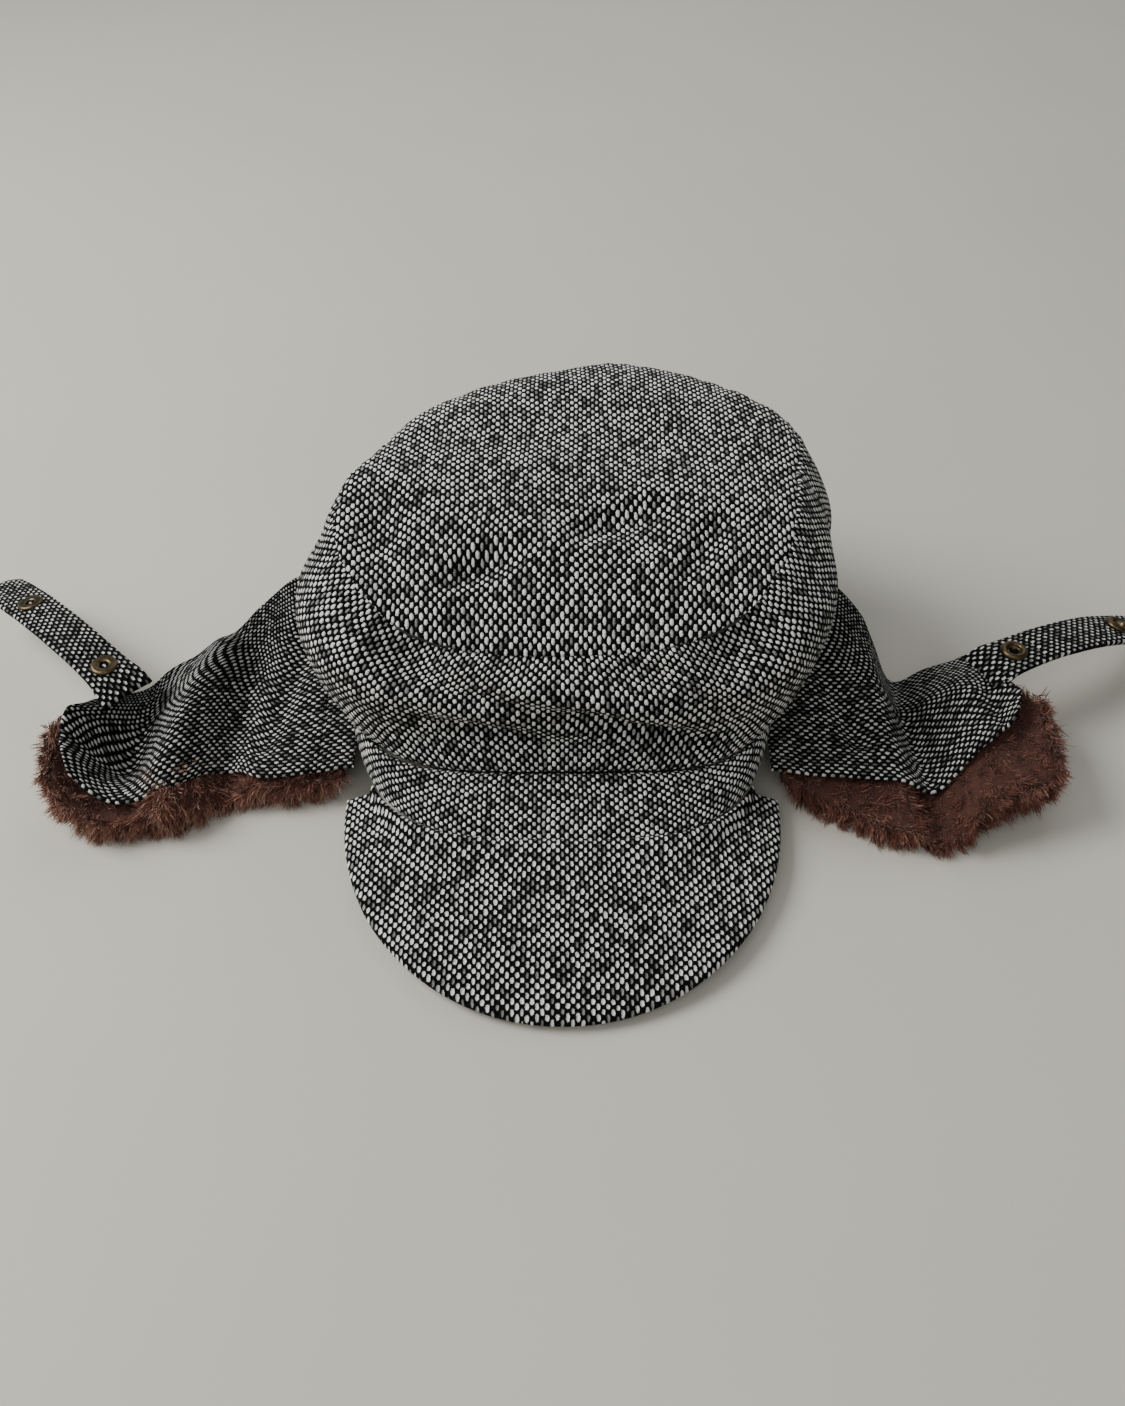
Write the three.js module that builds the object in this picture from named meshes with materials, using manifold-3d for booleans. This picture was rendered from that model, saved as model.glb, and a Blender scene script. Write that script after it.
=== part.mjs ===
import * as THREE from 'three';
import { mergeVertices } from 'three/addons/utils/BufferGeometryUtils.js';
import Module from 'manifold-3d';

// A tweed peaked winter cap lying open on a table. Millimetres: X to the wearer's left, peak toward -Y, Z up.

const wasm = await Module();
wasm.setup();

// ---------- Driving dimensions ----------

const CLOTH = 1.8;          // thickness of one layer of tweed
const LINING = 0.9;         // thickness of one layer of lining
const GAP = 0.35;           // air left between two pieces that touch
const HALF_TURN = Math.PI;

// Each level of the cap is a rounded loop seen from above. "half" is its half-width, "middle" the Y of its
// widest place, "front" and "back" its reach from there, and the two "square" values how boxy each end is.
// "z" is its height at the front, sides and back. The slack crown leans: "lean" slides the back of a level
// sideways, and "cave" is how far its rear corner on the wearer's right has sunk in.
const BAND_BOTTOM = {
  half: 97, middle: 20, front: 106, back: 105, frontSquare: 3.1, backSquare: 2.1, z: [24, 18, 18],
  lean: 0, cave: 0,
};
const BAND_TOP = {
  half: 99, middle: 25, front: 80, back: 102, frontSquare: 4.5, backSquare: 2.1, z: [31, 46, 48],
  lean: 0, cave: 0,
};
const BULGE_LOW = {
  half: 117, middle: 34, front: 80, back: 106, frontSquare: 4.0, backSquare: 1.9, z: [44, 60, 66],
  lean: 0.08, cave: 12,
};
const BULGE_HIGH = {
  half: 122, middle: 40, front: 88, back: 104, frontSquare: 3.5, backSquare: 1.65, z: [69, 88, 98],
  lean: 0.15, cave: 22,
};
const TOP_SEAM = {
  half: 104, middle: 45, front: 81, back: 84, frontSquare: 2.9, backSquare: 1.55, z: [83, 117, 123],
  lean: 0.3, cave: 13,
};
const CAVE_ANGLE = 0.93 * HALF_TURN;   // where around the crown it has sunk in
const CAVE_WIDTH = 0.13 * HALF_TURN;
const TOP_SEAM_ALLOWANCE = 2.2;   // how far the top panel stays inside the side strip's edge
const TOP_RISE = 42;              // the top panel climbs this much from front to back
const TOP_RISE_LENGTH = 60;       // over about this distance
const TOP_PILLOW = 8;             // height of the top panel's middle above its seam

const PEAK = { half: 97, middle: -52, reach: 109, square: 2.08 };
const PEAK_TIP_TOP = 6.1;         // height of the peak's upper face at its tip
const PEAK_BASE_TOP = 24;         // and where it meets the band
const PEAK_ARCH = 15;             // how far the peak's sides hang below its middle
const PEAK_BOARD = 1.7;           // thickness of the stiff board inside the peak

const FLAP_SHELL = 2.2;           // tweed and interlining of a flap
const FUR = 17;                   // pile and backing of the lining under a flap

const STRAP = {
  width: 21, thickness: 3.6, length: 122, root: 2.6, bend: 44, bendGap: 4.4, firstSnap: 11.5, secondSnap: 82,
};
const SNAP = { radius: 6.2, eyelet: 1.5, socketHole: 3.0, post: 2.0, strapHole: 2.6, cap: 1.5, stud: 2.6 };

// ---------- Materials ----------

function material(color, roughness, metalness = 0) {
  return new THREE.MeshStandardMaterial({ color, roughness, metalness });
}

const TWEED = material(0x3a3a38, 0.95);
const FAUX_FUR = material(0x5d3527, 0.95);
const SATIN = material(0x1d1c1f, 0.55);
const BOARD = material(0x22242a, 0.6);
const CANVAS = material(0xb9b2a2, 0.9);
const BRASS = material(0x6e5c3a, 0.42, 0.9);

// ---------- Turning unit solids into cloth ----------

const part = new THREE.Group();
part.name = 'trapper_hat';

function signedVolume(geometry) {
  const p = geometry.attributes.position;
  const index = geometry.index.array;
  const [a, b, c] = [new THREE.Vector3(), new THREE.Vector3(), new THREE.Vector3()];
  let volume = 0;
  for (let i = 0; i < index.length; i += 3) {
    a.fromBufferAttribute(p, index[i]);
    b.fromBufferAttribute(p, index[i + 1]);
    c.fromBufferAttribute(p, index[i + 2]);
    volume += a.dot(b.cross(c)) / 6;
  }
  return volume;
}

function faceOutward(geometry) {
  if (signedVolume(geometry) < 0) {
    const index = geometry.index.array;
    for (let i = 0; i < index.length; i += 3) {
      [index[i], index[i + 1]] = [index[i + 1], index[i]];
    }
  }
  geometry.computeVertexNormals();
  return geometry;
}

// Moves every corner of a unit solid to where "place" puts it, and joins corners that coincide.
function warp(unitSolid, place) {
  const p = unitSolid.attributes.position;
  for (let i = 0; i < p.count; i += 1) {
    const q = place(p.getX(i), p.getY(i), p.getZ(i));
    p.setXYZ(i, q.x, q.y, q.z);
  }
  unitSolid.deleteAttribute('uv');
  unitSolid.deleteAttribute('normal');
  return faceOutward(mergeVertices(unitSolid, 1e-4));
}

function add(name, geometry, finish) {
  const mesh = new THREE.Mesh(geometry, finish);
  mesh.name = name;
  part.add(mesh);
  return mesh;
}

// The angle of a lathe corner, measured so that -quarter turn is the front of the cap.
function latheAngle(x, z) {
  const angle = Math.atan2(z, x);
  return Math.abs(angle + HALF_TURN) < 1e-9 ? HALF_TURN : angle;
}

// A closed ring of cloth. place(angle, up, out) has up and out from 0 to 1.
function ring(steps, rows, place) {
  const profile = [];
  for (let i = 0; i <= rows; i += 1) {
    profile.push(new THREE.Vector2(2, i / rows));
  }
  for (let i = rows; i >= 0; i -= 1) {
    profile.push(new THREE.Vector2(1, i / rows));
  }
  profile.push(new THREE.Vector2(2, 0));
  return warp(new THREE.LatheGeometry(profile, steps), (x, y, z) => (
    place(latheAngle(x, z), y, Math.hypot(x, z) - 1)
  ));
}

// A round sheet. place(angle, share, up) has share from 0 at the middle to 1 at the rim.
function sheet(steps, rows, place) {
  const profile = [];
  for (let i = 0; i <= rows; i += 1) {
    profile.push(new THREE.Vector2(i / rows, 0));
  }
  for (let i = rows; i >= 0; i -= 1) {
    profile.push(new THREE.Vector2(i / rows, 1));
  }
  return warp(new THREE.LatheGeometry(profile, steps), (x, y, z) => (
    place(latheAngle(x, z), Math.hypot(x, z), y)
  ));
}

// A four-sided piece. place(u, v, up) has all three from 0 to 1.
function patch(columns, rows, place) {
  return warp(new THREE.BoxGeometry(1, 1, 1, columns, rows, 1), (x, y, z) => (
    place(x + 0.5, y + 0.5, z + 0.5)
  ));
}

// Goes below a surface by a depth, square to it. surface(a, b) gives a point.
function below(surface, a, b, depth) {
  const step = 1e-3;
  const alongA = surface(a + step, b).sub(surface(a - step, b));
  const alongB = surface(a, b + step).sub(surface(a, b - step));
  const outward = alongA.cross(alongB).normalize();
  return surface(a, b).addScaledVector(outward, -depth);
}

function mix(from, to, share) {
  return from + (to - from) * share;
}

// ---------- Cap levels ----------

function powered(value, power) {
  return Math.sign(value) * Math.abs(value) ** power;
}

function levelPoint(level, angle) {
  const across = Math.cos(angle);
  const along = Math.sin(angle);
  const square = mix(level.backSquare, level.frontSquare, (1 - along) / 2);
  const reach = along < 0 ? level.front : level.back;
  const end = along < 0 ? level.z[0] : level.z[2];
  const behind = reach * powered(along, 2 / square);
  const turn = angle < -HALF_TURN / 2 ? angle + 2 * HALF_TURN : angle;
  const sunk = level.cave * Math.exp(-(((turn - CAVE_ANGLE) / CAVE_WIDTH) ** 2));
  return new THREE.Vector3(
    level.half * powered(across, 2 / square) + level.lean * Math.max(0, behind) + sunk,
    level.middle + behind,
    mix(level.z[1], end, Math.abs(along) ** 1.5),
  );
}

function bandSurface(angle, up) {
  return levelPoint(BAND_BOTTOM, angle).lerp(levelPoint(BAND_TOP, angle), up);
}

function stripSurface(angle, up) {
  const levels = [BAND_TOP, BULGE_LOW, BULGE_HIGH, TOP_SEAM];
  const curve = new THREE.CatmullRomCurve3(levels.map((level) => levelPoint(level, angle)), false, 'centripetal');
  return curve.getPoint(THREE.MathUtils.clamp(up, 0, 1));
}

function topHeight(y, share, rim) {
  const climb = TOP_RISE * (1 - Math.exp(-(y - (TOP_SEAM.middle - TOP_SEAM.front)) / TOP_RISE_LENGTH));
  const middle = TOP_SEAM.z[0] + climb + TOP_PILLOW;
  return mix(middle, rim.z, share ** 6);
}

function topSurface(angle, share, inset) {
  const rim = levelPoint(TOP_SEAM, angle);
  const centre = new THREE.Vector3(0, TOP_SEAM.middle, 0);
  const reach = rim.clone().sub(centre).setZ(0);
  const shrink = (reach.length() - inset) / reach.length();
  const x = reach.x * share * shrink;
  const y = TOP_SEAM.middle + reach.y * share * shrink;
  return new THREE.Vector3(x, y, topHeight(y, share, rim));
}

// A ring between two depths under a cap surface, from one share of its height to another.
function layer(surface, steps, rows, outer, inner, lowest, highest) {
  return ring(steps, rows, (angle, up, out) => (
    below(surface, angle, mix(lowest, highest, up), mix(inner, outer, out))
  ));
}

// ---------- Crown and band ----------

const AROUND = 40;

add('top_panel', sheet(AROUND, 6, (angle, share, up) => (
  topSurface(angle, share, TOP_SEAM_ALLOWANCE).add(new THREE.Vector3(0, 0, (up - 1) * CLOTH))
)), TWEED);

add('crown_side_strip', layer(stripSurface, AROUND, 8, 0, CLOTH, 0.012, 0.995), TWEED);

add('band', layer(bandSurface, AROUND, 2, 0, CLOTH, 0.01, 0.97), TWEED);

const STIFFENER_OUT = CLOTH + 2.5 * GAP;
const STIFFENER_IN = STIFFENER_OUT + LINING;
add('band_stiffener', layer(bandSurface, AROUND, 2, STIFFENER_OUT, STIFFENER_IN, 0.08, 0.9), CANVAS);

const SWEATBAND_OUT = STIFFENER_IN + 2 * GAP;
const SWEATBAND_IN = SWEATBAND_OUT + 1.6;
add('sweatband', layer(bandSurface, AROUND, 2, SWEATBAND_OUT, SWEATBAND_IN, 0.04, 0.94), SATIN);

const LINING_OUT = CLOTH + 3 * GAP;
const LINING_IN = LINING_OUT + LINING;
add('side_lining', layer(stripSurface, AROUND, 8, LINING_OUT, LINING_IN, 0.03, 0.97), SATIN);

add('top_lining', sheet(AROUND, 4, (angle, share, up) => (
  topSurface(angle, share, TOP_SEAM_ALLOWANCE + 4)
    .add(new THREE.Vector3(0, 0, (up - 1) * LINING - CLOTH - GAP))
)), SATIN);

// ---------- Peak ----------

// The peak runs from the band's lower front edge to its own rounded rim. share 0 is the cap's right corner.
function peakSurface(share, out, margin) {
  const turn = mix(-HALF_TURN, 0, share);
  const across = Math.cos(turn);
  const along = Math.sin(turn);
  const rim = new THREE.Vector2(
    (PEAK.half - margin) * powered(across, 2 / PEAK.square),
    PEAK.middle + (PEAK.reach - margin) * powered(along, 2 / PEAK.square),
  );
  const base = levelPoint(BAND_BOTTOM, mix(-HALF_TURN * 0.81, -HALF_TURN * 0.19, share));
  const clear = new THREE.Vector2(base.x, base.y - BAND_BOTTOM.middle).setLength(1.2 + margin);
  const x = mix(base.x + clear.x, rim.x, out);
  const y = mix(base.y + clear.y, rim.y, out);
  const baseY = BAND_BOTTOM.middle - BAND_BOTTOM.front;
  const tipY = PEAK.middle - PEAK.reach;
  const fromTip = THREE.MathUtils.clamp((y - tipY) / (baseY - tipY), 0, 1.35);
  const crest = PEAK_TIP_TOP + (PEAK_BASE_TOP - PEAK_TIP_TOP) * Math.sin(fromTip * 1.25) / Math.sin(1.25);
  const arch = PEAK_ARCH * (x / PEAK.half) ** 2 * Math.min(1, 0.35 + fromTip);
  return new THREE.Vector3(x, y, crest - arch);
}

function peakLayer(top, thickness, margin) {
  return patch(22, 5, (share, out, up) => (
    peakSurface(share, out, margin).add(new THREE.Vector3(0, 0, -top - (1 - up) * thickness))
  ));
}

const BOARD_TOP = CLOTH + GAP;
const UNDER_TOP = BOARD_TOP + PEAK_BOARD + GAP;
add('peak_cover_top', peakLayer(0, CLOTH, 0), TWEED);
add('peak_board', peakLayer(BOARD_TOP, PEAK_BOARD, 3), BOARD);
add('peak_cover_under', peakLayer(UNDER_TOP, CLOTH, 0), TWEED);

// ---------- Flaps ----------

// Each flap is drawn by four ribs, from the front edge to the rear one. A rib runs from the cap outward, and
// each of its points gives how far out, how far back and how high the tweed lies.
const WEARERS_LEFT_RIBS = [
  [[98.5, -42, 18], [112, -45, 19], [130, -47, 19], [148, -47, 18], [165, -50, 19], [188, -38, 29], [204, -25, 37]],
  [[99.5, -15, 18], [114, -16, 19], [131, -17, 19], [147, -20, 17], [164, -24, 15], [188, -18, 28], [208, -13, 39]],
  [[101.5, 20, 18], [113, 20, 22], [131, 18, 25], [147, 12, 21], [162, 2, 15], [184, 0, 26], [205.5, -5, 38]],
  [[87.5, 82, 18], [106, 80, 29], [130, 64, 41], [146, 43, 36], [160, 22, 19], [182, 19, 26], [195.5, 17.5, 36.5]],
];
const WEARERS_RIGHT_RIBS = [
  [[98.5, -40, 18], [115, -45, 20], [136, -47, 20], [153, -38, 16], [172, -56, 22], [196, -62, 20], [215, -55, 30]],
  [[99.5, -12, 18], [115, -15, 20], [135, -17, 20], [151, -14, 17], [172, -28, 27], [200, -36, 16], [221, -38, 36]],
  [[101.5, 20, 18], [115, 22, 22], [134, 22, 24], [149, 14, 22], [169, 2, 29], [197, -12, 21], [219, -27, 39]],
  [[87.5, 82, 18], [106, 80, 29], [130, 68, 40], [147, 47, 38], [163, 26, 32], [190, 8, 31], [213.5, -16.5, 38]],
];

function ribSurface(ribs, side) {
  return (out, back) => {
    const across = ribs.map((rib) => (
      new THREE.CatmullRomCurve3(rib.map(([x, y, z]) => new THREE.Vector3(side * x, y, z)))
        .getPoint(THREE.MathUtils.clamp(out, 0, 1))
    ));
    return new THREE.CatmullRomCurve3(across).getPoint(THREE.MathUtils.clamp(back, 0, 1));
  };
}

// The pile stands out past the tweed along the front and outer edges and lies flush at the root and rear.
function furSpread(out, back) {
  const atFront = 1 - THREE.MathUtils.smoothstep(back, 0, 0.3);
  const pastRoot = THREE.MathUtils.smoothstep(out, 0.1, 0.36);
  const atOuter = THREE.MathUtils.smoothstep(out, 0.8, 1) * (1 - THREE.MathUtils.smoothstep(back, 0.45, 0.8));
  return [atOuter, atFront * pastRoot];
}

// Each ear flap is two stiff pieces with a bend between them: a base next to the band, and the flap beyond it.
const FLAP_BEND = 0.27;           // where along the ribs the flap bends
const FLAP_BEND_GAP = 0.006;      // air left there, as a share of a rib
const FLAP_PIECES = [
  { suffix: '_base', from: 0, to: FLAP_BEND - FLAP_BEND_GAP / 2, columns: 4 },
  { suffix: '', from: FLAP_BEND + FLAP_BEND_GAP / 2, to: 1, columns: 13 },
];
const FUR_ROOT_CHAMFER = 13;      // the pile thins out toward the band, so that the flap can hang

// "shows" is how far the pile stands out past the tweed's free edge.
function furPoint(surface, side, shows, out, back, up) {
  const point = surface(out, back);
  const [outward, forward] = furSpread(out, back);
  const top = point.z - FLAP_SHELL - 3 * GAP - 8 * Math.sqrt(Math.max(outward, forward));
  const rootGap = FUR_ROOT_CHAMFER * (1 - THREE.MathUtils.smoothstep(out, 0, 0.13));
  point.x += side * outward * Math.min(shows, 14);
  point.y -= forward * shows;
  point.z = mix(Math.max(0, top - FUR) + rootGap, top, up);
  return point;
}

function flapPieces(name, ribs, side, shows) {
  const surface = ribSurface(ribs, side);
  for (const { suffix, from, to, columns } of FLAP_PIECES) {
    add(`${name}${suffix}_tweed`, patch(columns, 8, (share, back, up) => (
      surface(mix(from, to, share), back).add(new THREE.Vector3(0, 0, (up - 1) * FLAP_SHELL))
    )), TWEED);
    add(`${name}${suffix}_fur`, patch(columns, 8, (share, back, up) => (
      furPoint(surface, side, shows, mix(from, to, share), back, up)
    )), FAUX_FUR);
  }
}

const NECK_EDGE = {
  half: 139, middle: 20, front: 1, back: 146, frontSquare: 2.2, backSquare: 2.0, z: [38, 38, 46],
  lean: 0, cave: 0,
};
const NECK_ROOT_ANGLE = 0.24 * HALF_TURN;    // where the neck flap meets each ear flap at the band
const NECK_EDGE_ANGLE = 0.16 * HALF_TURN;    // and at the free edge

const NECK_CLEAR = 5;                         // room for the neck flap's ends to swing past the band

function neckSurface(round, out) {
  const root = levelPoint(BAND_BOTTOM, mix(NECK_ROOT_ANGLE, HALF_TURN - NECK_ROOT_ANGLE, round));
  const edge = levelPoint(NECK_EDGE, mix(NECK_EDGE_ANGLE, HALF_TURN - NECK_EDGE_ANGLE, round));
  const clear = new THREE.Vector3(root.x, root.y - BAND_BOTTOM.middle, 0).setLength(NECK_CLEAR);
  root.add(clear);
  const point = root.clone().lerp(edge, out);
  point.z = mix(root.z, edge.z, out ** 1.5);
  return point;
}

function neckPieces() {
  add('neck_flap_tweed', patch(22, 4, (round, out, up) => (
    neckSurface(round, out).add(new THREE.Vector3(0, 0, (up - 1) * FLAP_SHELL))
  )), TWEED);
  add('neck_flap_fur', patch(22, 4, (round, out, up) => {
    const point = neckSurface(round, out);
    const top = point.z - FLAP_SHELL - GAP;
    point.z = mix(Math.max(0, top - FUR), top, up);
    return point;
  }), FAUX_FUR);
}

flapPieces('left_ear_flap', WEARERS_LEFT_RIBS, 1, 25);
flapPieces('right_ear_flap', WEARERS_RIGHT_RIBS, -1, 9);
neckPieces();

// ---------- Chin straps and press-snaps ----------

// A strap leaves its flap at "root", runs along "heading" in plan, rises at first and then sags.
function strapLine(root, heading, rise, sag) {
  const direction = new THREE.Vector2(...heading).normalize();
  return (distance) => new THREE.Vector3(
    root[0] + direction.x * distance,
    root[1] + direction.y * distance,
    root[2] + rise * distance - sag * distance ** 2,
  );
}

// The three directions of a strap at a distance: along it, across it and square to its face.
function strapFrame(line, distance) {
  const along = line(distance + 0.5).sub(line(distance - 0.5)).normalize();
  const across = new THREE.Vector3(0, 0, 1).cross(along).normalize();
  const up = along.clone().cross(across);
  return { centre: line(distance), along, across, up };
}

function strapWidth(distance) {
  const flare = 4 * Math.exp(-distance / 6);
  const fromEnd = STRAP.length - distance;
  const rounding = 8;
  const tip = fromEnd < rounding ? Math.sqrt(Math.max(0.04, 1 - (1 - fromEnd / rounding) ** 2)) : 1;
  return (STRAP.width + flare) * tip;
}

function strapPiece(line, from, to) {
  return patch(14, 1, (share, side, up) => {
    const distance = mix(from, to, share);
    const { centre, across, up: square } = strapFrame(line, distance);
    return centre
      .addScaledVector(across, (side - 0.5) * strapWidth(distance))
      .addScaledVector(square, (up - 0.5) * STRAP.thickness);
  });
}

function toManifold(geometry) {
  const merged = mergeVertices(geometry, 1e-4);
  return new wasm.Manifold(new wasm.Mesh({
    numProp: 3,
    vertProperties: new Float32Array(merged.attributes.position.array),
    triVerts: new Uint32Array(merged.index.array),
  }));
}

function fromManifold(solid) {
  const mesh = solid.getMesh();
  const geometry = new THREE.BufferGeometry();
  geometry.setAttribute('position', new THREE.BufferAttribute(mesh.vertProperties, 3));
  geometry.setIndex(new THREE.BufferAttribute(mesh.triVerts, 1));
  return faceOutward(geometry);
}

// Puts a solid turned about its own Y axis onto a strap, with Y square to the strap's face.
function ontoStrap(geometry, line, distance) {
  const { centre, along, up, across } = strapFrame(line, distance);
  const place = new THREE.Matrix4().makeBasis(along, up, across.clone().negate()).setPosition(centre);
  geometry.applyMatrix4(place);
  geometry.deleteAttribute('uv');
  geometry.deleteAttribute('normal');
  return faceOutward(mergeVertices(geometry, 1e-4));
}

function punched(strap, line, distance) {
  const hole = new THREE.CylinderGeometry(SNAP.strapHole, SNAP.strapHole, 3 * STRAP.thickness, 20);
  return fromManifold(toManifold(strap).subtract(toManifold(ontoStrap(hole, line, distance))));
}

function turned(points) {
  return new THREE.LatheGeometry(points.map(([radius, height]) => new THREE.Vector2(radius, height)), 14);
}

const STRAP_FACE = STRAP.thickness / 2 + GAP;

// Eyelet half: a dished ring on the face whose tube goes down through the strap.
function eyelet() {
  const tube = SNAP.eyelet + 0.6;
  const top = STRAP_FACE + SNAP.cap;
  return turned([
    [SNAP.eyelet, -STRAP_FACE], [tube, -STRAP_FACE], [tube, STRAP_FACE], [SNAP.radius, STRAP_FACE],
    [SNAP.radius, STRAP_FACE + 0.4], [SNAP.radius - 1, top], [tube + 1.2, top - 0.2],
    [SNAP.eyelet, top - 0.9], [SNAP.eyelet, -STRAP_FACE],
  ]);
}

// Stud half under the eyelet: a flange with a rounded knob below it.
function stud() {
  const base = -STRAP_FACE - GAP;
  const knob = base - SNAP.stud;
  return turned([
    [SNAP.eyelet, base], [SNAP.eyelet, knob], [2.4, knob], [3.1, knob + 0.6], [2.7, base - 0.9],
    [SNAP.radius - 0.8, base - 0.9], [SNAP.radius - 0.4, base - 0.3], [SNAP.radius - 0.4, base],
    [SNAP.eyelet, base],
  ]);
}

// Socket half: a raised ring with a wide mouth that the stud is pushed into.
function socket() {
  const top = STRAP_FACE + SNAP.cap + 1.0;
  return turned([
    [SNAP.socketHole - 0.5, STRAP_FACE], [SNAP.radius, STRAP_FACE], [SNAP.radius, STRAP_FACE + 0.8],
    [SNAP.radius - 0.7, top - 0.5], [SNAP.radius - 1.6, top], [SNAP.socketHole + 0.5, top - 0.2],
    [SNAP.socketHole, top - 0.9], [SNAP.socketHole - 0.5, STRAP_FACE + 0.3], [SNAP.socketHole - 0.5, STRAP_FACE],
  ]);
}

// Cap under the socket: a smooth domed button whose post goes up through the strap.
function backCap() {
  const face = -STRAP_FACE;
  return turned([
    [0, face - SNAP.cap], [SNAP.radius - 2, face - SNAP.cap + 0.15], [SNAP.radius - 0.5, face - 0.7],
    [SNAP.radius, face], [SNAP.post, face], [SNAP.post, STRAP_FACE + 0.3], [0, STRAP_FACE + 0.3],
  ]);
}

function strapPieces(name, line, upperHalf, lowerHalf) {
  const links = [
    ['near', STRAP.root, STRAP.bend, STRAP.firstSnap],
    ['far', STRAP.bend + STRAP.bendGap, STRAP.length, STRAP.secondSnap],
  ];
  for (const [link, from, to, snapAt] of links) {
    add(`${name}_strap_${link}`, punched(strapPiece(line, from, to), line, snapAt), TWEED);
    for (const [kind, make] of [upperHalf, lowerHalf]) {
      add(`${name}_snap_${link}_${kind}`, ontoStrap(make(), line, snapAt), BRASS);
    }
  }
}

const leftLine = strapLine([200.8, 6.4, 37], [0.88, 0.45], 0.06, 0.0026);
const rightLine = strapLine([-204, -4.8, 36], [-0.72, 0.69], 0.10, 0.0018);
strapPieces('left', leftLine, ['socket', socket], ['cap', backCap]);
strapPieces('right', rightLine, ['eyelet', eyelet], ['stud', stud]);

// ---------- Origin at the middle of the footprint, lowest point at zero ----------

const box = new THREE.Box3().setFromObject(part);
const shift = new THREE.Vector3(-(box.min.x + box.max.x) / 2, -(box.min.y + box.max.y) / 2, -box.min.z);
for (const mesh of part.children) {
  mesh.geometry.translate(shift.x, shift.y, shift.z);
}

export default part;
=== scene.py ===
"""Looks of a peaked tweed cap with fur-lined ear flaps, lying open on a table.

The shapes are worked out in millimetres in the cap's own frame, X to the wearer's left and the peak toward
-Y, with the same driving dimensions as the CAD solids. to_row() brings them into the row frame in metres.
"""

import math

import bpy
import numpy as np
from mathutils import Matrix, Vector


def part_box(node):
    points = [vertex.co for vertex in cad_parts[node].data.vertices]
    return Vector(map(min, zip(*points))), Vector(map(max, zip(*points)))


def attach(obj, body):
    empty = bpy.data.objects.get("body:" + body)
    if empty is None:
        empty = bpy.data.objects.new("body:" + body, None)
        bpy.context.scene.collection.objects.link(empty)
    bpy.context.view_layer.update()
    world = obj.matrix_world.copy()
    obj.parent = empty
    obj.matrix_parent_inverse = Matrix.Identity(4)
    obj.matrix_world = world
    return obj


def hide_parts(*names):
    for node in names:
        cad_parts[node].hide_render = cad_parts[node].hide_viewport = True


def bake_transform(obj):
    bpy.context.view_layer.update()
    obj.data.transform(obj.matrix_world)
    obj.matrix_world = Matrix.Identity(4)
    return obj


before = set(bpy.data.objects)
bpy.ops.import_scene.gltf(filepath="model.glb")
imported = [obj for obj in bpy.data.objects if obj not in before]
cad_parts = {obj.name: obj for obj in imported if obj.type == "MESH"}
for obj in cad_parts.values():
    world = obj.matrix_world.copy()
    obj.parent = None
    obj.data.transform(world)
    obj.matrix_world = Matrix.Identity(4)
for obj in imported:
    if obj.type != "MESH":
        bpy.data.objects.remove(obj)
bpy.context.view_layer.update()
SEED = 7
random = np.random.default_rng(SEED)

# ---------- Driving dimensions, in millimetres ----------

CLOTH = 1.8
LINING = 0.9
HALF_TURN = math.pi
YARN = 1.96  # distance between neighbouring yarns of the tweed

BAND_BOTTOM = dict(half=97, middle=20, front=106, back=105, front_square=3.1, back_square=2.1,
                   z=(24, 18, 18), lean=0, cave=0)
BAND_TOP = dict(half=99, middle=25, front=80, back=102, front_square=4.5, back_square=2.1,
                z=(31, 46, 48), lean=0, cave=0)
BULGE_LOW = dict(half=117, middle=34, front=80, back=106, front_square=4.0, back_square=1.9,
                 z=(44, 60, 66), lean=0.08, cave=12)
BULGE_HIGH = dict(half=122, middle=40, front=88, back=104, front_square=3.5, back_square=1.65,
                  z=(69, 88, 98), lean=0.15, cave=22)
TOP_SEAM = dict(half=104, middle=45, front=81, back=84, front_square=2.9, back_square=1.55,
                z=(83, 117, 123), lean=0.3, cave=13)
CAVE_ANGLE = 0.93 * HALF_TURN
CAVE_WIDTH = 0.13 * HALF_TURN
TOP_RISE, TOP_RISE_LENGTH, TOP_PILLOW = 42, 60, 8

PEAK = dict(half=97, middle=-52, reach=109, square=2.08)
PEAK_TIP_TOP, PEAK_BASE_TOP, PEAK_ARCH, PEAK_THICK = 6.1, 24, 15, 6.0

FLAP_SHELL, FUR, GAP, FUR_ROOT_CHAMFER = 2.2, 17, 0.35, 13
# An ear flap is stretched over four ribs, front to back, each from the band outward.
LEFT_RIBS = [
    [
        (98.5, -42, 18), (112, -45, 19), (130, -47, 19), (148, -47, 18),
        (165, -50, 19), (188, -38, 29), (204, -25, 37),
    ],
    [
        (99.5, -15, 18), (114, -16, 19), (131, -17, 19), (147, -20, 17),
        (164, -24, 15), (188, -18, 28), (208, -13, 39),
    ],
    [
        (101.5, 20, 18), (113, 20, 22), (131, 18, 25), (147, 12, 21),
        (162, 2, 15), (184, 0, 26), (205.5, -5, 38),
    ],
    [
        (87.5, 82, 18), (106, 80, 29), (130, 64, 41), (146, 43, 36),
        (160, 22, 19), (182, 19, 26), (195.5, 17.5, 36.5),
    ],
]
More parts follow.
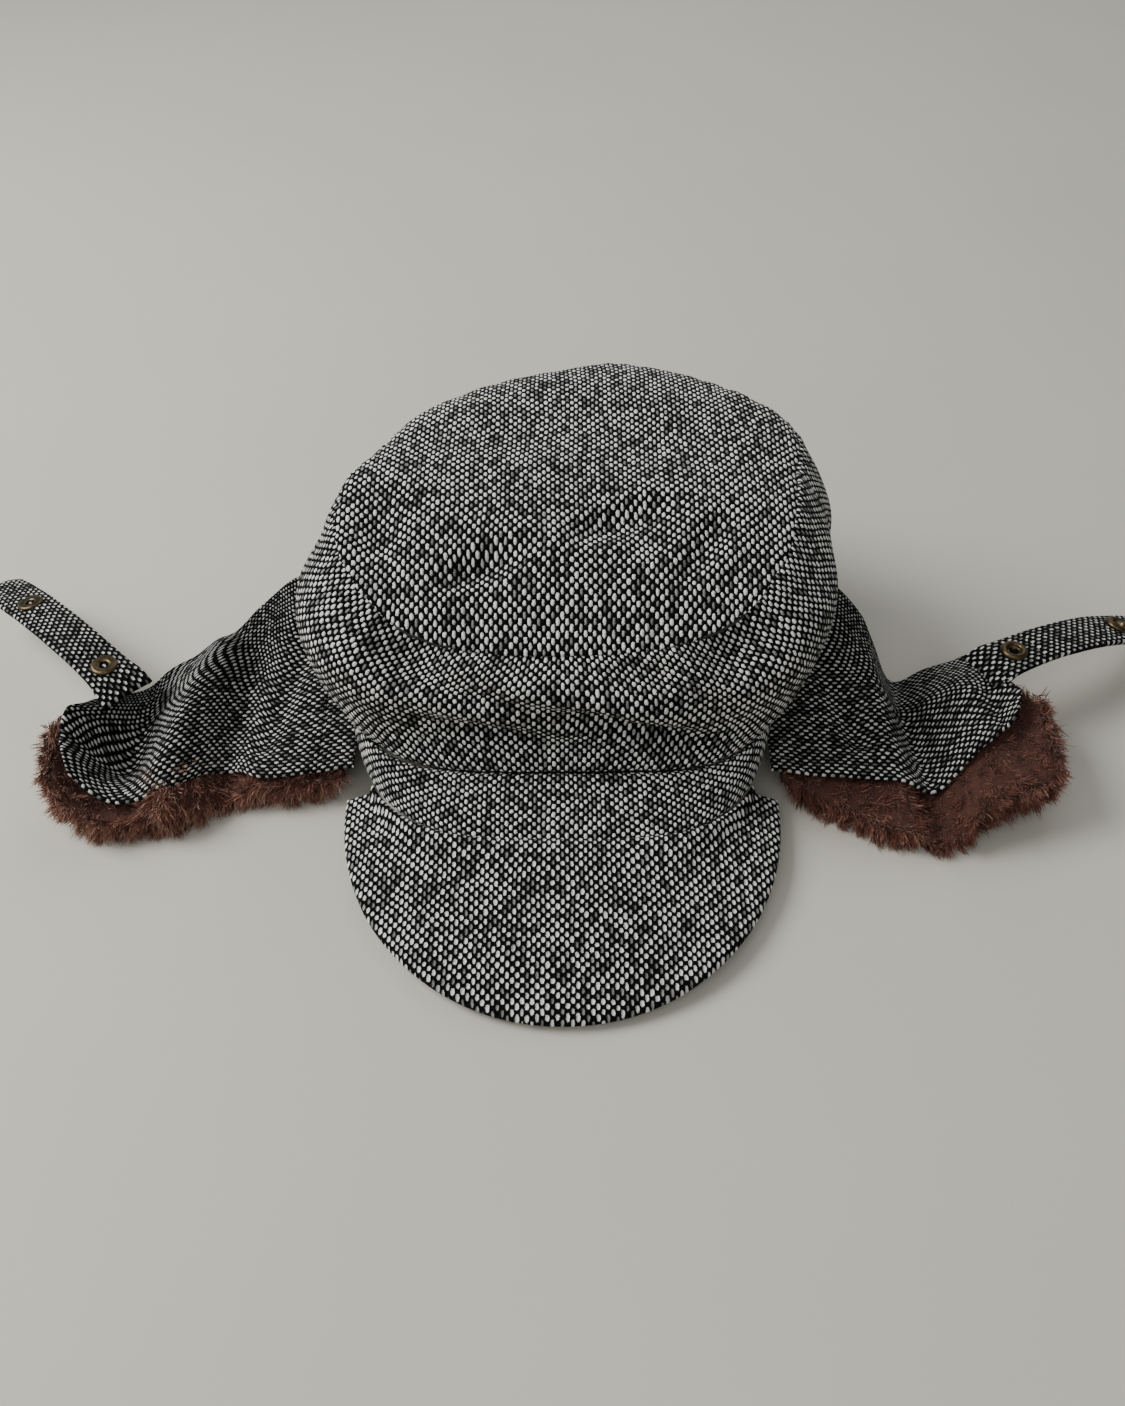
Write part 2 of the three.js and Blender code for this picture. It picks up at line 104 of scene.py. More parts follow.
# On the wearer's right X is turned over.
RIGHT_RIBS = [
    [
        (98.5, -40, 18), (115, -45, 20), (136, -47, 20), (153, -38, 16),
        (172, -56, 22), (196, -62, 20), (215, -55, 30),
    ],
    [
        (99.5, -12, 18), (115, -15, 20), (135, -17, 20), (151, -14, 17),
        (172, -28, 27), (200, -36, 16), (221, -38, 36),
    ],
    [
        (101.5, 20, 18), (115, 22, 22), (134, 22, 24), (149, 14, 22),
        (169, 2, 29), (197, -12, 21), (219, -27, 39),
    ],
    [
        (87.5, 82, 18), (106, 80, 29), (130, 68, 40), (147, 47, 38),
        (163, 26, 32), (190, 8, 31), (213.5, -16.5, 38),
    ],
]
FLAP_SPLIT = 0.12  # share of a rib where a flap's two pieces meet, between its two bends

# Folds of the ear flaps, seen from above: start, end, reach to either side and rise.
LEFT_FOLDS = [
    ((162, 22), (167, -52), 7.5, -7.5),
    ((151, 18), (153, -30), 8.0, 3.0),
    ((186, 4), (184, -36), 8.0, 2.5),
    ((199, -26), (197, -4), 4.0, -3.0),
    ((120, 30), (136, -26), 6.0, -2.5),
]
RIGHT_FOLDS = [
    ((-164, 22), (-178, -46), 8.5, 5.0),
    ((-196, 2), (-200, -34), 11.0, -8.0),
    ((-150, 22), (-153, -38), 6.5, -4.5),
    ((-216, -46), (-219, -26), 6.0, 4.0),
    ((-124, 30), (-137, -28), 6.0, -3.0),
]
# The front edge of each pile, as places seen from above.
LEFT_PILE_FRONT = [(89, -42), (106, -46), (124, -58), (139, -68), (168, -75), (185, -67), (205, -52)]
RIGHT_PILE_FRONT = [(-223, -54), (-202, -68), (-173, -64), (-150, -50), (-133, -46), (-109, -44), (-89, -38)]

NECK_EDGE = dict(half=139, middle=20, front=1, back=146, front_square=2.2, back_square=2.0,
                 z=(38, 38, 46), lean=0, cave=0)
NECK_ROOT_ANGLE, NECK_EDGE_ANGLE = 0.24 * HALF_TURN, 0.16 * HALF_TURN
NECK_CLEAR = 5

# Creases: start, end, width and depth.
STRIP_CREASES = [
    ((-52, -46, 72), (18, -48, 56), 6.0, 5.2),
    ((10, -48, 58), (58, -46, 40), 5.5, 4.4),
    ((-62, -40, 58), (-14, -48, 48), 6.0, 3.0),
    ((26, -44, 80), (66, -40, 62), 6.5, 3.4),
    ((-98, 4, 78), (-74, -28, 58), 7.0, 4.6),
    ((-116, 44, 84), (-98, 0, 60), 8.0, 3.4),
    ((92, -6, 70), (72, -32, 52), 7.0, 4.4),
    ((116, 40, 86), (96, -4, 62), 8.0, 3.8),
]
TOP_CREASES = [
    ((-52, -12, 102), (-14, 2, 108), 5.0, 2.6),
    ((8, 8, 112), (46, 22, 116), 5.0, 2.4),
    ((50, -12, 104), (70, 16, 114), 5.0, 2.6),
]
# Dents: centre, reach in X, Y and Z, and depth.
STRIP_DENTS = [
    ((-63, -38, 80), (14, 16, 12), 6.5),
    ((72, -33, 84), (14, 16, 13), 6.5),
    ((0, -46, 66), (40, 20, 9), -2.2),
]
TOP_DENTS = [
    ((-34, -7, 105), (17, 10, 40), 5.6),
    ((27, 12, 114), (20, 11, 40), 4.8),
    ((-78, 12, 110), (10, 18, 40), 4.6),
    ((40, 60, 121), (30, 20, 40), 2.6),
    ((-30, 62, 121), (34, 14, 40), 2.2),
]

STRAP_WIDTH, STRAP_THICK, STRAP_LENGTH = 21, 3.6, 122
STRAP_SPLIT, STRAP_BEND = 25, 46.2
LEFT_STRAP = dict(root=(200.8, 6.4, 37), heading=(0.88, 0.45), rise=0.06, sag=0.0026)
RIGHT_STRAP = dict(root=(-204, -4.8, 36), heading=(-0.72, 0.69), rise=0.10, sag=0.0018)

# ---------- Frame ----------

peak_low, peak_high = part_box("peak_cover_top")
SHIFT = np.array([
    (peak_low.x + peak_high.x) / 2,
    peak_low.y - (PEAK["middle"] - PEAK["reach"]) / 1000,
    0.0,
])


def to_row(points):
    return np.asarray(points, float) / 1000 + SHIFT


# ---------- Small mathematics ----------


def mix(a, b, share):
    return a + (b - a) * share


def smooth(value, low, high):
    t = np.clip((value - low) / (high - low), 0, 1)
    return t * t * (3 - 2 * t)


def powered(value, power):
    return np.sign(value) * np.abs(value) ** power


def xyz(x, y, z):
    return np.stack(np.broadcast_arrays(x, y, z), -1).astype(float)


def unit(vectors):
    return vectors / np.maximum(np.linalg.norm(vectors, axis=-1, keepdims=True), 1e-9)


def spline(points, share):
    """The centripetal curve through the points, at each share from 0 to 1."""
    stack = np.stack([np.broadcast_to(p, share.shape + (3,)) for p in points]).astype(float)
    ends = [2 * stack[0] - stack[1]], [2 * stack[-1] - stack[-2]]
    reached = np.concatenate([ends[0], stack, ends[1]])
    at = np.clip(share, 0, 1) * (len(points) - 1)
    segment = np.minimum(at.astype(int), len(points) - 2)
    t = (at - segment)[..., None]
    picked = [np.take_along_axis(reached, (segment + k)[None, ..., None], 0)[0] for k in range(4)]
    p0, p1, p2, p3 = picked
    d0, d1, d2 = (
        np.maximum(np.linalg.norm(b - a, axis=-1, keepdims=True), 1e-6) ** 0.5
        for a, b in zip(picked, picked[1:])
    )
    start = ((p1 - p0) / d0 - (p2 - p0) / (d0 + d1) + (p2 - p1) / d1) * d1
    end = ((p2 - p1) / d1 - (p3 - p1) / (d1 + d2) + (p3 - p2) / d2) * d1
    return (
        p1
        + start * t
        + (3 * (p2 - p1) - 2 * start - end) * t**2
        + (2 * (p1 - p2) + start + end) * t**3
    )


def unevenness(points, size, seed):
    """Soft random hills from -1 to 1 about that size across, from a few crossed waves."""
    waves = np.random.default_rng(seed)
    total = np.zeros(points.shape[:-1])
    count = 9
    for _ in range(count):
        direction = unit(waves.normal(size=3))
        length = size * waves.uniform(1.3, 3.0)
        total += np.sin(points @ direction * (2 * math.pi / length) + waves.uniform(0, 2 * math.pi))
    return total / math.sqrt(count) / 1.4


# ---------- Surfaces of the cap ----------


def level_point(level, angle):
    across, along = np.cos(angle), np.sin(angle)
    square = mix(level["back_square"], level["front_square"], (1 - along) / 2)
    reach = np.where(along < 0, level["front"], level["back"])
    end = np.where(along < 0, level["z"][0], level["z"][2])
    behind = reach * powered(along, 2 / square)
    turn = np.where(angle < -HALF_TURN / 2, angle + 2 * HALF_TURN, angle)
    turn = np.where(turn > 1.5 * HALF_TURN, turn - 2 * HALF_TURN, turn)
    sunk = level["cave"] * np.exp(-(((turn - CAVE_ANGLE) / CAVE_WIDTH) ** 2))
    return xyz(
        level["half"] * powered(across, 2 / square) + level["lean"] * np.maximum(0, behind) + sunk,
        level["middle"] + behind,
        mix(level["z"][1], end, np.abs(along) ** 1.5),
    )


def band_surface(angle, up):
    return mix(level_point(BAND_BOTTOM, angle), level_point(BAND_TOP, angle), up[..., None])


def strip_surface(angle, up):
    levels = (BAND_TOP, BULGE_LOW, BULGE_HIGH, TOP_SEAM)
    return spline([level_point(level, angle) for level in levels], up)


def top_surface(angle, share):
    rim = level_point(TOP_SEAM, angle)
    reach_x, reach_y = rim[..., 0], rim[..., 1] - TOP_SEAM["middle"]
    y = TOP_SEAM["middle"] + reach_y * share
    climb = TOP_RISE * (1 - np.exp(-(y - (TOP_SEAM["middle"] - TOP_SEAM["front"])) / TOP_RISE_LENGTH))
    middle = TOP_SEAM["z"][0] + climb + TOP_PILLOW
    return xyz(reach_x * share, y, mix(middle, rim[..., 2], share**6))


def peak_surface(share, out):
    turn = mix(-HALF_TURN, 0.0, share)
    rim_x = PEAK["half"] * powered(np.cos(turn), 2 / PEAK["square"])
    rim_y = PEAK["middle"] + PEAK["reach"] * powered(np.sin(turn), 2 / PEAK["square"])
    base = level_point(BAND_BOTTOM, mix(-HALF_TURN * 0.81, -HALF_TURN * 0.19, share))
    away = unit(xyz(base[..., 0], base[..., 1] - BAND_BOTTOM["middle"], 0)) * -1.6
    x = mix(base[..., 0] + away[..., 0], rim_x, out)
    y = mix(base[..., 1] + away[..., 1], rim_y, out)
    base_y = BAND_BOTTOM["middle"] - BAND_BOTTOM["front"]
    tip_y = PEAK["middle"] - PEAK["reach"]
    from_tip = np.clip((y - tip_y) / (base_y - tip_y), 0, 1.35)
    crest = PEAK_TIP_TOP + (PEAK_BASE_TOP - PEAK_TIP_TOP) * np.sin(from_tip * 1.25) / math.sin(1.25)
    arch = PEAK_ARCH * (x / PEAK["half"]) ** 2 * np.minimum(1, 0.35 + from_tip)
    return xyz(x, y, crest - arch)


def fold_rise(side, x, y):
    """How far the folds lift an ear flap at a place seen from above."""
    rise = np.zeros(np.shape(x))
    for start, end, reach, height in LEFT_FOLDS if side > 0 else RIGHT_FOLDS:
        line = np.subtract(end, start)
        place = np.stack([x, y], -1) - start
        share = np.clip(place @ line / (line @ line), 0, 1)
        gap = np.linalg.norm(place - share[..., None] * line, axis=-1) / reach
        rise = rise + height * np.exp(-(gap**2))
    return rise


def flap_surface(ribs, side, out, back):
    across = [spline([np.array((side * x, y, z)) for x, y, z in rib], out) for rib in ribs]
    point = spline(across, back)
    point[..., 2] += fold_rise(side, point[..., 0], point[..., 1])
    return point


def fur_spread(out, back):
    """How far the pile stands out past the tweed, outward and forward, from 0 to 1."""
    forward = 1 - smooth(back, 0, 0.3)
    outward = smooth(out, 0.8, 1) * (1 - smooth(back, 0.45, 0.8))
    return outward, forward


def fur_block(ribs, side, shows, out, back, up):
    point = flap_surface(ribs, side, out, back)
    outward, forward = fur_spread(out, back)
    front = np.array(LEFT_PILE_FRONT if side > 0 else RIGHT_PILE_FRONT, float)
    front_y = np.minimum(point[..., 1], np.interp(point[..., 0], front[:, 0], front[:, 1]))
    shown = np.maximum(outward, forward)
    top = point[..., 2] - FLAP_SHELL - 3 * GAP - 3.5 * np.sqrt(shown)
    root_gap = FUR_ROOT_CHAMFER * (1 - smooth(out, 0, 0.13))
    return xyz(
        point[..., 0] + side * outward * min(shows, 14),
        mix(point[..., 1], front_y, forward),
        mix(np.maximum(0, top - FUR) + root_gap, top, up),
    )


def neck_surface(around, out):
    root = level_point(BAND_BOTTOM, mix(NECK_ROOT_ANGLE, HALF_TURN - NECK_ROOT_ANGLE, around))
    edge = level_point(NECK_EDGE, mix(NECK_EDGE_ANGLE, HALF_TURN - NECK_EDGE_ANGLE, around))
    root = root + unit(xyz(root[..., 0], root[..., 1] - BAND_BOTTOM["middle"], 0)) * NECK_CLEAR
    point = mix(root, edge, out[..., None])
    point[..., 2] = mix(root[..., 2], edge[..., 2], out**1.5)
    return point


def neck_block(around, out, up):
    point = neck_surface(around, out)
    top = point[..., 2] - FLAP_SHELL - GAP
    point[..., 2] = mix(np.maximum(0, top - FUR), top, up)
    return point


def strap_centre(strap, distance):
    heading = unit(np.array(strap["heading"], float))
    x, y, z = strap["root"]
    return xyz(
        x + heading[0] * distance,
        y + heading[1] * distance,
        z + strap["rise"] * distance - strap["sag"] * distance**2,
    )


def strap_frame(strap, distance):
    """Centre, and the directions along, across and square to the strap's face."""
    along = unit(strap_centre(strap, distance + 0.5) - strap_centre(strap, distance - 0.5))
    across = unit(np.cross(np.array((0.0, 0.0, 1.0)), along))
    return strap_centre(strap, distance), along, across, np.cross(along, across)


def strap_half_width(distance):
    rounding = 8
    from_end = np.clip(STRAP_LENGTH - distance, 0, rounding)
    tip = np.sqrt(np.maximum(0.04, 1 - (1 - from_end / rounding) ** 2))
    return (STRAP_WIDTH + 4 * np.exp(-distance / 6)) * tip / 2


# ---------- Meshes ----------


def cells(grid):
    """The four corners of each cell of a grid of vertex numbers or places."""
    corners = [grid[:-1, :-1], grid[1:, :-1], grid[1:, 1:], grid[:-1, 1:]]
    return np.stack(corners, 2).reshape(-1, 4, *grid.shape[2:])


def make_object(name, vertices, faces, materials, weave=None, face_material=None, smooth_shading=True):
    """A mesh object from vertices in the row frame and faces, with the weave's own coordinates."""
    mesh = bpy.data.meshes.new(name)
    corners = faces.shape[1]
    mesh.vertices.add(len(vertices))
    mesh.vertices.foreach_set("co", np.asarray(vertices, np.float32).ravel())
    mesh.loops.add(faces.size)
    mesh.loops.foreach_set("vertex_index", faces.astype(np.int32).ravel())
    mesh.polygons.add(len(faces))
    mesh.polygons.foreach_set("loop_start", np.arange(0, faces.size, corners, dtype=np.int32))
    if weave is not None:
        layer = mesh.uv_layers.new(name="weave")
        layer.data.foreach_set("uv", weave.astype(np.float32).ravel())
    for material in materials:
        mesh.materials.append(material)
    if face_material is not None:
        mesh.polygons.foreach_set("material_index", face_material.astype(np.int32))
    mesh.update(calc_edges=True)
    mesh.validate()
    if smooth_shading:
        mesh.shade_smooth()
    obj = bpy.data.objects.new(name, mesh)
    bpy.context.scene.collection.objects.link(obj)
    return obj


def edge_steps(count, fine=(0.05, 0.18, 0.45)):
    """Shares from 0 to 1, closer together at both ends so that a cloth edge can be rounded."""
    even = np.linspace(0, 1, count + 1)
    first = np.array(fine) / count
    return np.unique(np.concatenate([even, first, 1 - first]))


def surface_normals(points, wrap):
    padded = np.concatenate([points[-2:-1], points, points[1:2]]) if wrap else points
    along_u = np.gradient(padded, axis=0)
    along_u = along_u[1:-1] if wrap else along_u
    return unit(np.cross(along_u, np.gradient(points, axis=1)))


def lengths(points, axis):
    """Distance walked along a grid of points, starting at zero."""
    step = np.linalg.norm(np.diff(points, axis=axis), axis=-1)
    start = np.zeros_like(np.take(step, [0], axis))
    return np.concatenate([start, np.cumsum(step, axis)], axis)


def edge_distance(points, wrap):
    down = lengths(points, 1)
    nearest = np.minimum(down, down[:, -1:] - down)
    if not wrap:
        across = lengths(points, 0)
        nearest = np.minimum(nearest, np.minimum(across, across[-1:] - across))
    return nearest


def flat_cut(points):
    """The width, length and area that a grid of places has laid flat, in metres and square metres."""
    width, length = lengths(points, 1)[:, -1].max(), lengths(points, 0)[-1].max()
    cells = np.cross(points[1:, 1:] - points[:-1, :-1], points[1:, :-1] - points[:-1, 1:])
    return (width / 1000, length / 1000), np.linalg.norm(cells, axis=-1).sum() / 2e6


def cloth(name, points, weave, thickness, finish, wrap=False, outward=None, rounding=None):
    """A closed piece of cloth below its outer surface, whose two faces meet in a rounded edge.

    points is a grid of places in millimetres, and weave the grid of places on the woven cloth.
    With wrap, the last row of the grid is the first again.
    """
    normals = surface_normals(points, wrap) if outward is None else outward
    rounding = rounding or thickness / 2
    thickness = np.broadcast_to(thickness, points.shape[:2])
    into = np.clip(edge_distance(points, wrap) / rounding, 0, 1)
    half = thickness / 2 * np.sqrt(1 - (1 - into) ** 2)
    middle = points - normals * (thickness / 2)[..., None]
    rows, columns = points.shape[:2]
    kept = rows - 1 if wrap else rows
    index = np.arange(kept * columns).reshape(kept, columns)
    index = np.concatenate([index, index[:1]]) if wrap else index
    rim = np.zeros((rows, columns), bool)
    rim[:, [0, -1]] = True
    if not wrap:
        rim[[0, -1]] = True
    under = np.where(rim, index, index + kept * columns)
    upper_points = (middle + normals * half[..., None])[:kept].reshape(-1, 3)
    under_points = (middle - normals * half[..., None])[:kept].reshape(-1, 3)

    faces = np.concatenate([cells(index), cells(under)[:, ::-1]])
    places = cells(weave)
    places = np.concatenate([places, places[:, ::-1]])
    used, compact = np.unique(faces, return_inverse=True)
    vertices = np.concatenate([upper_points, under_points])[used]
    obj = make_object(name, to_row(vertices), compact.reshape(faces.shape), [finish], places.reshape(-1, 2))
    return obj


def declared(piece, points):
    """Works out the size that a piece's grid has laid flat, which is not kept, and gives back the piece."""
    flat, area = flat_cut(points)
    return piece


# ---------- Creases and dents ----------


def hollow(points, centre, size, depth, normals):
    """Pushes the surface in around a place. size is the hollow's reach in X, Y and Z."""
    away = (points - np.array(centre, float)) / np.array(size, float)
    return points - normals * (depth * np.exp(-np.sum(away**2, -1)))[..., None]


def crease(points, start, end, width, depth, normals):
    """A soft fold line from start to end: a valley with a low ridge on either side."""
    start, end = np.array(start, float), np.array(end, float)
    line = end - start
    share = np.clip(((points - start) @ line) / (line @ line), 0, 1)
    gap = np.linalg.norm(points - (start + share[..., None] * line), axis=-1) / width
    fade = np.sin(np.pi * np.clip(share * 0.86 + 0.07, 0, 1)) ** 0.7
    shape = np.exp(-(gap**2)) - 0.55 * np.exp(-(((gap - 1.9) / 0.9) ** 2))
    return points - normals * (depth * shape * fade)[..., None]


def puckered(points, normals, seam_gap, seam_walk, height):
    """Gathers and the groove near a seam, from the distance to it and the place along it."""
    groove = -1.1 * np.exp(-((seam_gap / 2.2) ** 2))
    ripple = np.sin(seam_walk / 2.6 + 2.2 * np.sin(seam_walk / 17)) * np.sin(seam_walk / 23 + 1)
    ripple = ripple * height * np.exp(-seam_gap / 9)
    return points + normals * (groove + ripple)[..., None]


# ---------- Materials ----------


def node_tree(name):
    material = bpy.data.materials.new(name)
    material.use_nodes = True
    nodes, links = material.node_tree.nodes, material.node_tree.links
    shader = nodes["Principled BSDF"]
    return material, nodes, links, shader


def set_shader(shader, **values):
    for socket, value in values.items():
        shader.inputs[socket.replace("_", " ")].default_value = value


class Graph:
    """Short names for the node kinds that the materials below use."""

    def __init__(self, nodes, links):
        self.nodes, self.links = nodes, links

    def feed(self, socket, value):
        if isinstance(value, bpy.types.NodeSocket):
            self.links.new(value, socket)
        else:
            socket.default_value = value

    def maths(self, operation, a, b=0.0, c=0.0):
        node = self.nodes.new("ShaderNodeMath")
        node.operation = operation
        for socket, value in zip(node.inputs, (a, b, c)):
            self.feed(socket, value)
        return node.outputs[0]

    def step(self, value, low, high):
        node = self.nodes.new("ShaderNodeMapRange")
        node.interpolation_type = "SMOOTHSTEP"
        self.feed(node.inputs["Value"], value)
        self.feed(node.inputs["From Min"], low)
        self.feed(node.inputs["From Max"], high)
        return node.outputs["Result"]

    def noise(self, place, scale, detail=2.0, roughness=0.5):
        node = self.nodes.new("ShaderNodeTexNoise")
        self.feed(node.inputs["Vector"], place)
        node.inputs["Scale"].default_value = scale
        node.inputs["Detail"].default_value = detail
        node.inputs["Roughness"].default_value = roughness
        return node.outputs["Fac"]

    def combine(self, x, y, z=0.0):
        node = self.nodes.new("ShaderNodeCombineXYZ")
        for socket, value in zip(node.inputs, (x, y, z)):
            self.feed(socket, value)
        return node.outputs[0]

    def separate(self, vector):
        node = self.nodes.new("ShaderNodeSeparateXYZ")
        self.feed(node.inputs[0], vector)
        return node.outputs

    def blend(self, share, first, second):
        node = self.nodes.new("ShaderNodeMix")
        node.data_type = "RGBA"
        self.feed(node.inputs["Factor"], share)
        self.feed(node.inputs["A"], first)
        self.feed(node.inputs["B"], second)
        return node.outputs["Result"]

    def bump(self, height, distance, strength=1.0):
        node = self.nodes.new("ShaderNodeBump")
        node.inputs["Strength"].default_value = strength
        node.inputs["Distance"].default_value = distance
        self.feed(node.inputs["Height"], height)
        return node.outputs[0]

    def here(self):
        return self.nodes.new("ShaderNodeTexCoord").outputs["Object"]


def tweed_material(name, fullness, painted_light):
    """Plain weave of black and off-white yarns: staggered white ovals on black, uneven and slightly fuzzy.

    fullness scales the ovals' size, for cloth that is pulled taut, and the third argument dims the white
    yarn, which below 1 is painted shade.
    """
    material, nodes, links, shader = node_tree(name)
    g = Graph(nodes, links)
    cloth_map = nodes.new("ShaderNodeUVMap")
    cloth_map.uv_map = "weave"
    u, v, _ = g.separate(cloth_map.outputs[0])
    here = g.here()
    # Yarns wander: slow waves bend the rows, and fine noise frays each oval's edge.
    wander_u = g.maths("MULTIPLY_ADD", g.noise(here, 38.0, 1.0), 1.1, -0.55)
    wander_v = g.maths("MULTIPLY_ADD", g.noise(g.combine(v, u, 3.1), 0.16, 1.0), 1.0, -0.5)
    fray_u = g.maths("MULTIPLY_ADD", g.noise(g.combine(u, v, 0.0), 2.6, 2.0, 0.7), 0.5, -0.25)
    fray_v = g.maths("MULTIPLY_ADD", g.noise(g.combine(u, v, 9.0), 2.6, 2.0, 0.7), 0.5, -0.25)
    u = g.maths("ADD", g.maths("ADD", u, wander_u), fray_u)
    v = g.maths("ADD", g.maths("ADD", v, wander_v), fray_v)
    # On the two diagonals the ovals sit at whole numbers.
    p = g.maths("MULTIPLY", g.maths("ADD", u, v), 0.5)
    q = g.maths("MULTIPLY", g.maths("SUBTRACT", u, v), 0.5)
    near_p, near_q = g.maths("ROUND", p), g.maths("ROUND", q)
    off_p, off_q = g.maths("SUBTRACT", p, near_p), g.maths("SUBTRACT", q, near_q)
    across = g.maths("ABSOLUTE", g.maths("ADD", off_p, off_q))
    along = g.maths("ABSOLUTE", g.maths("SUBTRACT", off_p, off_q))
    own = nodes.new("ShaderNodeTexWhiteNoise")
    own.noise_dimensions = "3D"
    g.feed(own.inputs["Vector"], g.combine(near_p, near_q, 0.5))
    chance = own.outputs["Value"]
    red, green, _ = g.separate(own.outputs["Color"])
    half_width = g.maths("MULTIPLY_ADD", red, 0.14 * fullness, 0.30 * fullness)
    half_length = g.maths("MULTIPLY_ADD", green, 0.20 * fullness, 0.48 * fullness)
    oval = g.maths(
        "ADD",
        g.maths("POWER", g.maths("DIVIDE", across, half_width), 2.3),
        g.maths("POWER", g.maths("DIVIDE", along, half_length), 2.3),
    )
    white = g.maths("SUBTRACT", 1.0, g.step(oval, 0.6, 1.25))
    # A few ovals are greyed by black fibres, and whole patches of the yarn run darker.
    patch = g.noise(g.combine(g.maths("MULTIPLY", u, 0.35), g.maths("MULTIPLY", v, 0.11), 5.0), 1.0, 2.0)
    grey = g.maths("MULTIPLY", g.step(chance, 0.0, 0.5), g.step(patch, 0.2, 0.48))
    # Below 1 the third argument dims every white oval alike: painted shade, used for the flaps and straps.
    shown = g.maths("MULTIPLY_ADD", grey, 0.8 * painted_light, 0.2 * painted_light)
    strength = g.maths("MULTIPLY", white, shown)
    fibre = g.noise(g.combine(g.maths("MULTIPLY", u, 3.0), g.maths("MULTIPLY", v, 0.9), 1.0), 2.2, 3.0, 0.65)
    wool = g.blend(fibre, (0.80, 0.79, 0.74, 1), (1.0, 0.99, 0.94, 1))
    black = g.blend(fibre, (0.001, 0.001, 0.001, 1), (0.006, 0.006, 0.006, 1))
    colour = g.blend(strength, black, wool)
    links.new(colour, shader.inputs["Base Color"])
    # Both yarns are round: the white ones stand highest at their ovals, the black ones between them.
    white_round = g.maths("SUBTRACT", 1.0, g.maths("MINIMUM", oval, 1.0))
    between = g.maths("ADD", g.maths("ABSOLUTE", off_p), g.maths("ABSOLUTE", off_q))
    black_round = g.maths("MULTIPLY", g.step(between, 0.45, 1.0), 0.75)
    height = g.maths("ADD", g.maths("MAXIMUM", white_round, black_round), g.maths("MULTIPLY", fibre, 0.35))
    links.new(g.bump(height, 0.0006, 0.9), shader.inputs["Normal"])
    set_shader(
        shader, Roughness=0.95, Sheen_Weight=0.02, Sheen_Roughness=0.5, Specular_IOR_Level=0.06,
    )
    return material


def satin_material():
    material, nodes, links, shader = node_tree("satin_lining")
    g = Graph(nodes, links)
    here = g.here()
    x, y, z = g.separate(here)
    threads = g.noise(g.combine(g.maths("MULTIPLY", x, 9.0), y, z), 900.0, 2.0)
    pull = g.noise(here, 55.0, 3.0)
    shade = g.maths("MULTIPLY_ADD", threads, 0.4, g.maths("MULTIPLY", pull, 0.6))
    links.new(g.blend(shade, (0.008, 0.008, 0.010, 1), (0.035, 0.034, 0.040, 1)), shader.inputs["Base Color"])
    height = g.maths("ADD", threads, g.maths("MULTIPLY", pull, 3.0))
    links.new(g.bump(height, 0.0006, 0.5), shader.inputs["Normal"])
    links.new(g.maths("MULTIPLY_ADD", threads, 0.2, 0.32), shader.inputs["Roughness"])
    return material


def canvas_material():
    material, nodes, links, shader = node_tree("canvas")
    g = Graph(nodes, links)
    here = g.here()
    x, y, z = g.separate(here)
    warp = g.noise(g.combine(g.maths("MULTIPLY", x, 6.0), y, z), 1400.0, 1.0)
    weft = g.noise(g.combine(x, y, g.maths("MULTIPLY", z, 6.0)), 1400.0, 1.0)
    weave = g.maths("MULTIPLY", g.maths("ADD", warp, weft), 0.5)
    links.new(g.blend(weave, (0.33, 0.29, 0.23, 1), (0.66, 0.61, 0.52, 1)), shader.inputs["Base Color"])
    links.new(g.bump(weave, 0.0004, 0.6), shader.inputs["Normal"])
    set_shader(shader, Roughness=0.9)
    return material


def board_material():
    material, nodes, links, shader = node_tree("peak_board")
    g = Graph(nodes, links)
    here = g.here()
    grain = g.noise(here, 700.0, 4.0, 0.7)
    links.new(g.blend(grain, (0.012, 0.013, 0.017, 1), (0.04, 0.042, 0.05, 1)), shader.inputs["Base Color"])
    links.new(g.bump(grain, 0.0002, 0.5), shader.inputs["Normal"])
    set_shader(shader, Roughness=0.55)
    return material


def brass_material():
    """Antiqued brass: dark in the hollows, rubbed bright on raised edges, with fine scratches."""
    material, nodes, links, shader = node_tree("antique_brass")
    g = Graph(nodes, links)
    here = g.here()
    stain = g.noise(here, 420.0, 3.0, 0.6)
    edge = g.step(nodes.new("ShaderNodeNewGeometry").outputs["Pointiness"], 0.5, 0.56)
    rubbed = g.maths("MINIMUM", g.maths("ADD", edge, g.maths("MULTIPLY", stain, 0.55)), 1.0)
    links.new(g.blend(rubbed, (0.030, 0.021, 0.011, 1), (0.27, 0.20, 0.11, 1)), shader.inputs["Base Color"])
    links.new(g.maths("MULTIPLY_ADD", stain, 0.3, 0.22), shader.inputs["Roughness"])
    links.new(g.bump(g.noise(here, 2600.0, 2.0), 0.00006, 0.5), shader.inputs["Normal"])
    set_shader(shader, Metallic=1.0)
    return material


def hole_shade_material():
    """Painted shade: near-black for the floor and walls inside a press-snap's hole, where shade falls, with a
    little noise in it.
    """
    material, nodes, links, shader = node_tree("snap_hole_shade")
    g = Graph(nodes, links)
    stain = g.noise(g.here(), 900.0, 3.0)
    links.new(g.blend(stain, (0.001, 0.001, 0.001, 1), (0.008, 0.007, 0.005, 1)), shader.inputs["Base Color"])
    set_shader(shader, Roughness=0.9, Specular_IOR_Level=0.05)
    return material


def skin_material():
    """The dark knitted backing that shows between the hairs."""
    material, nodes, links, shader = node_tree("fur_backing")
    g = Graph(nodes, links)
    here = g.here()
    clumps = g.noise(here, 260.0, 4.0, 0.7)
    brown = g.blend(clumps, (0.016, 0.005, 0.003, 1), (0.110, 0.036, 0.022, 1))
    links.new(brown, shader.inputs["Base Color"])
    links.new(g.bump(clumps, 0.002, 1.0), shader.inputs["Normal"])
    set_shader(shader, Roughness=0.95)
    return material


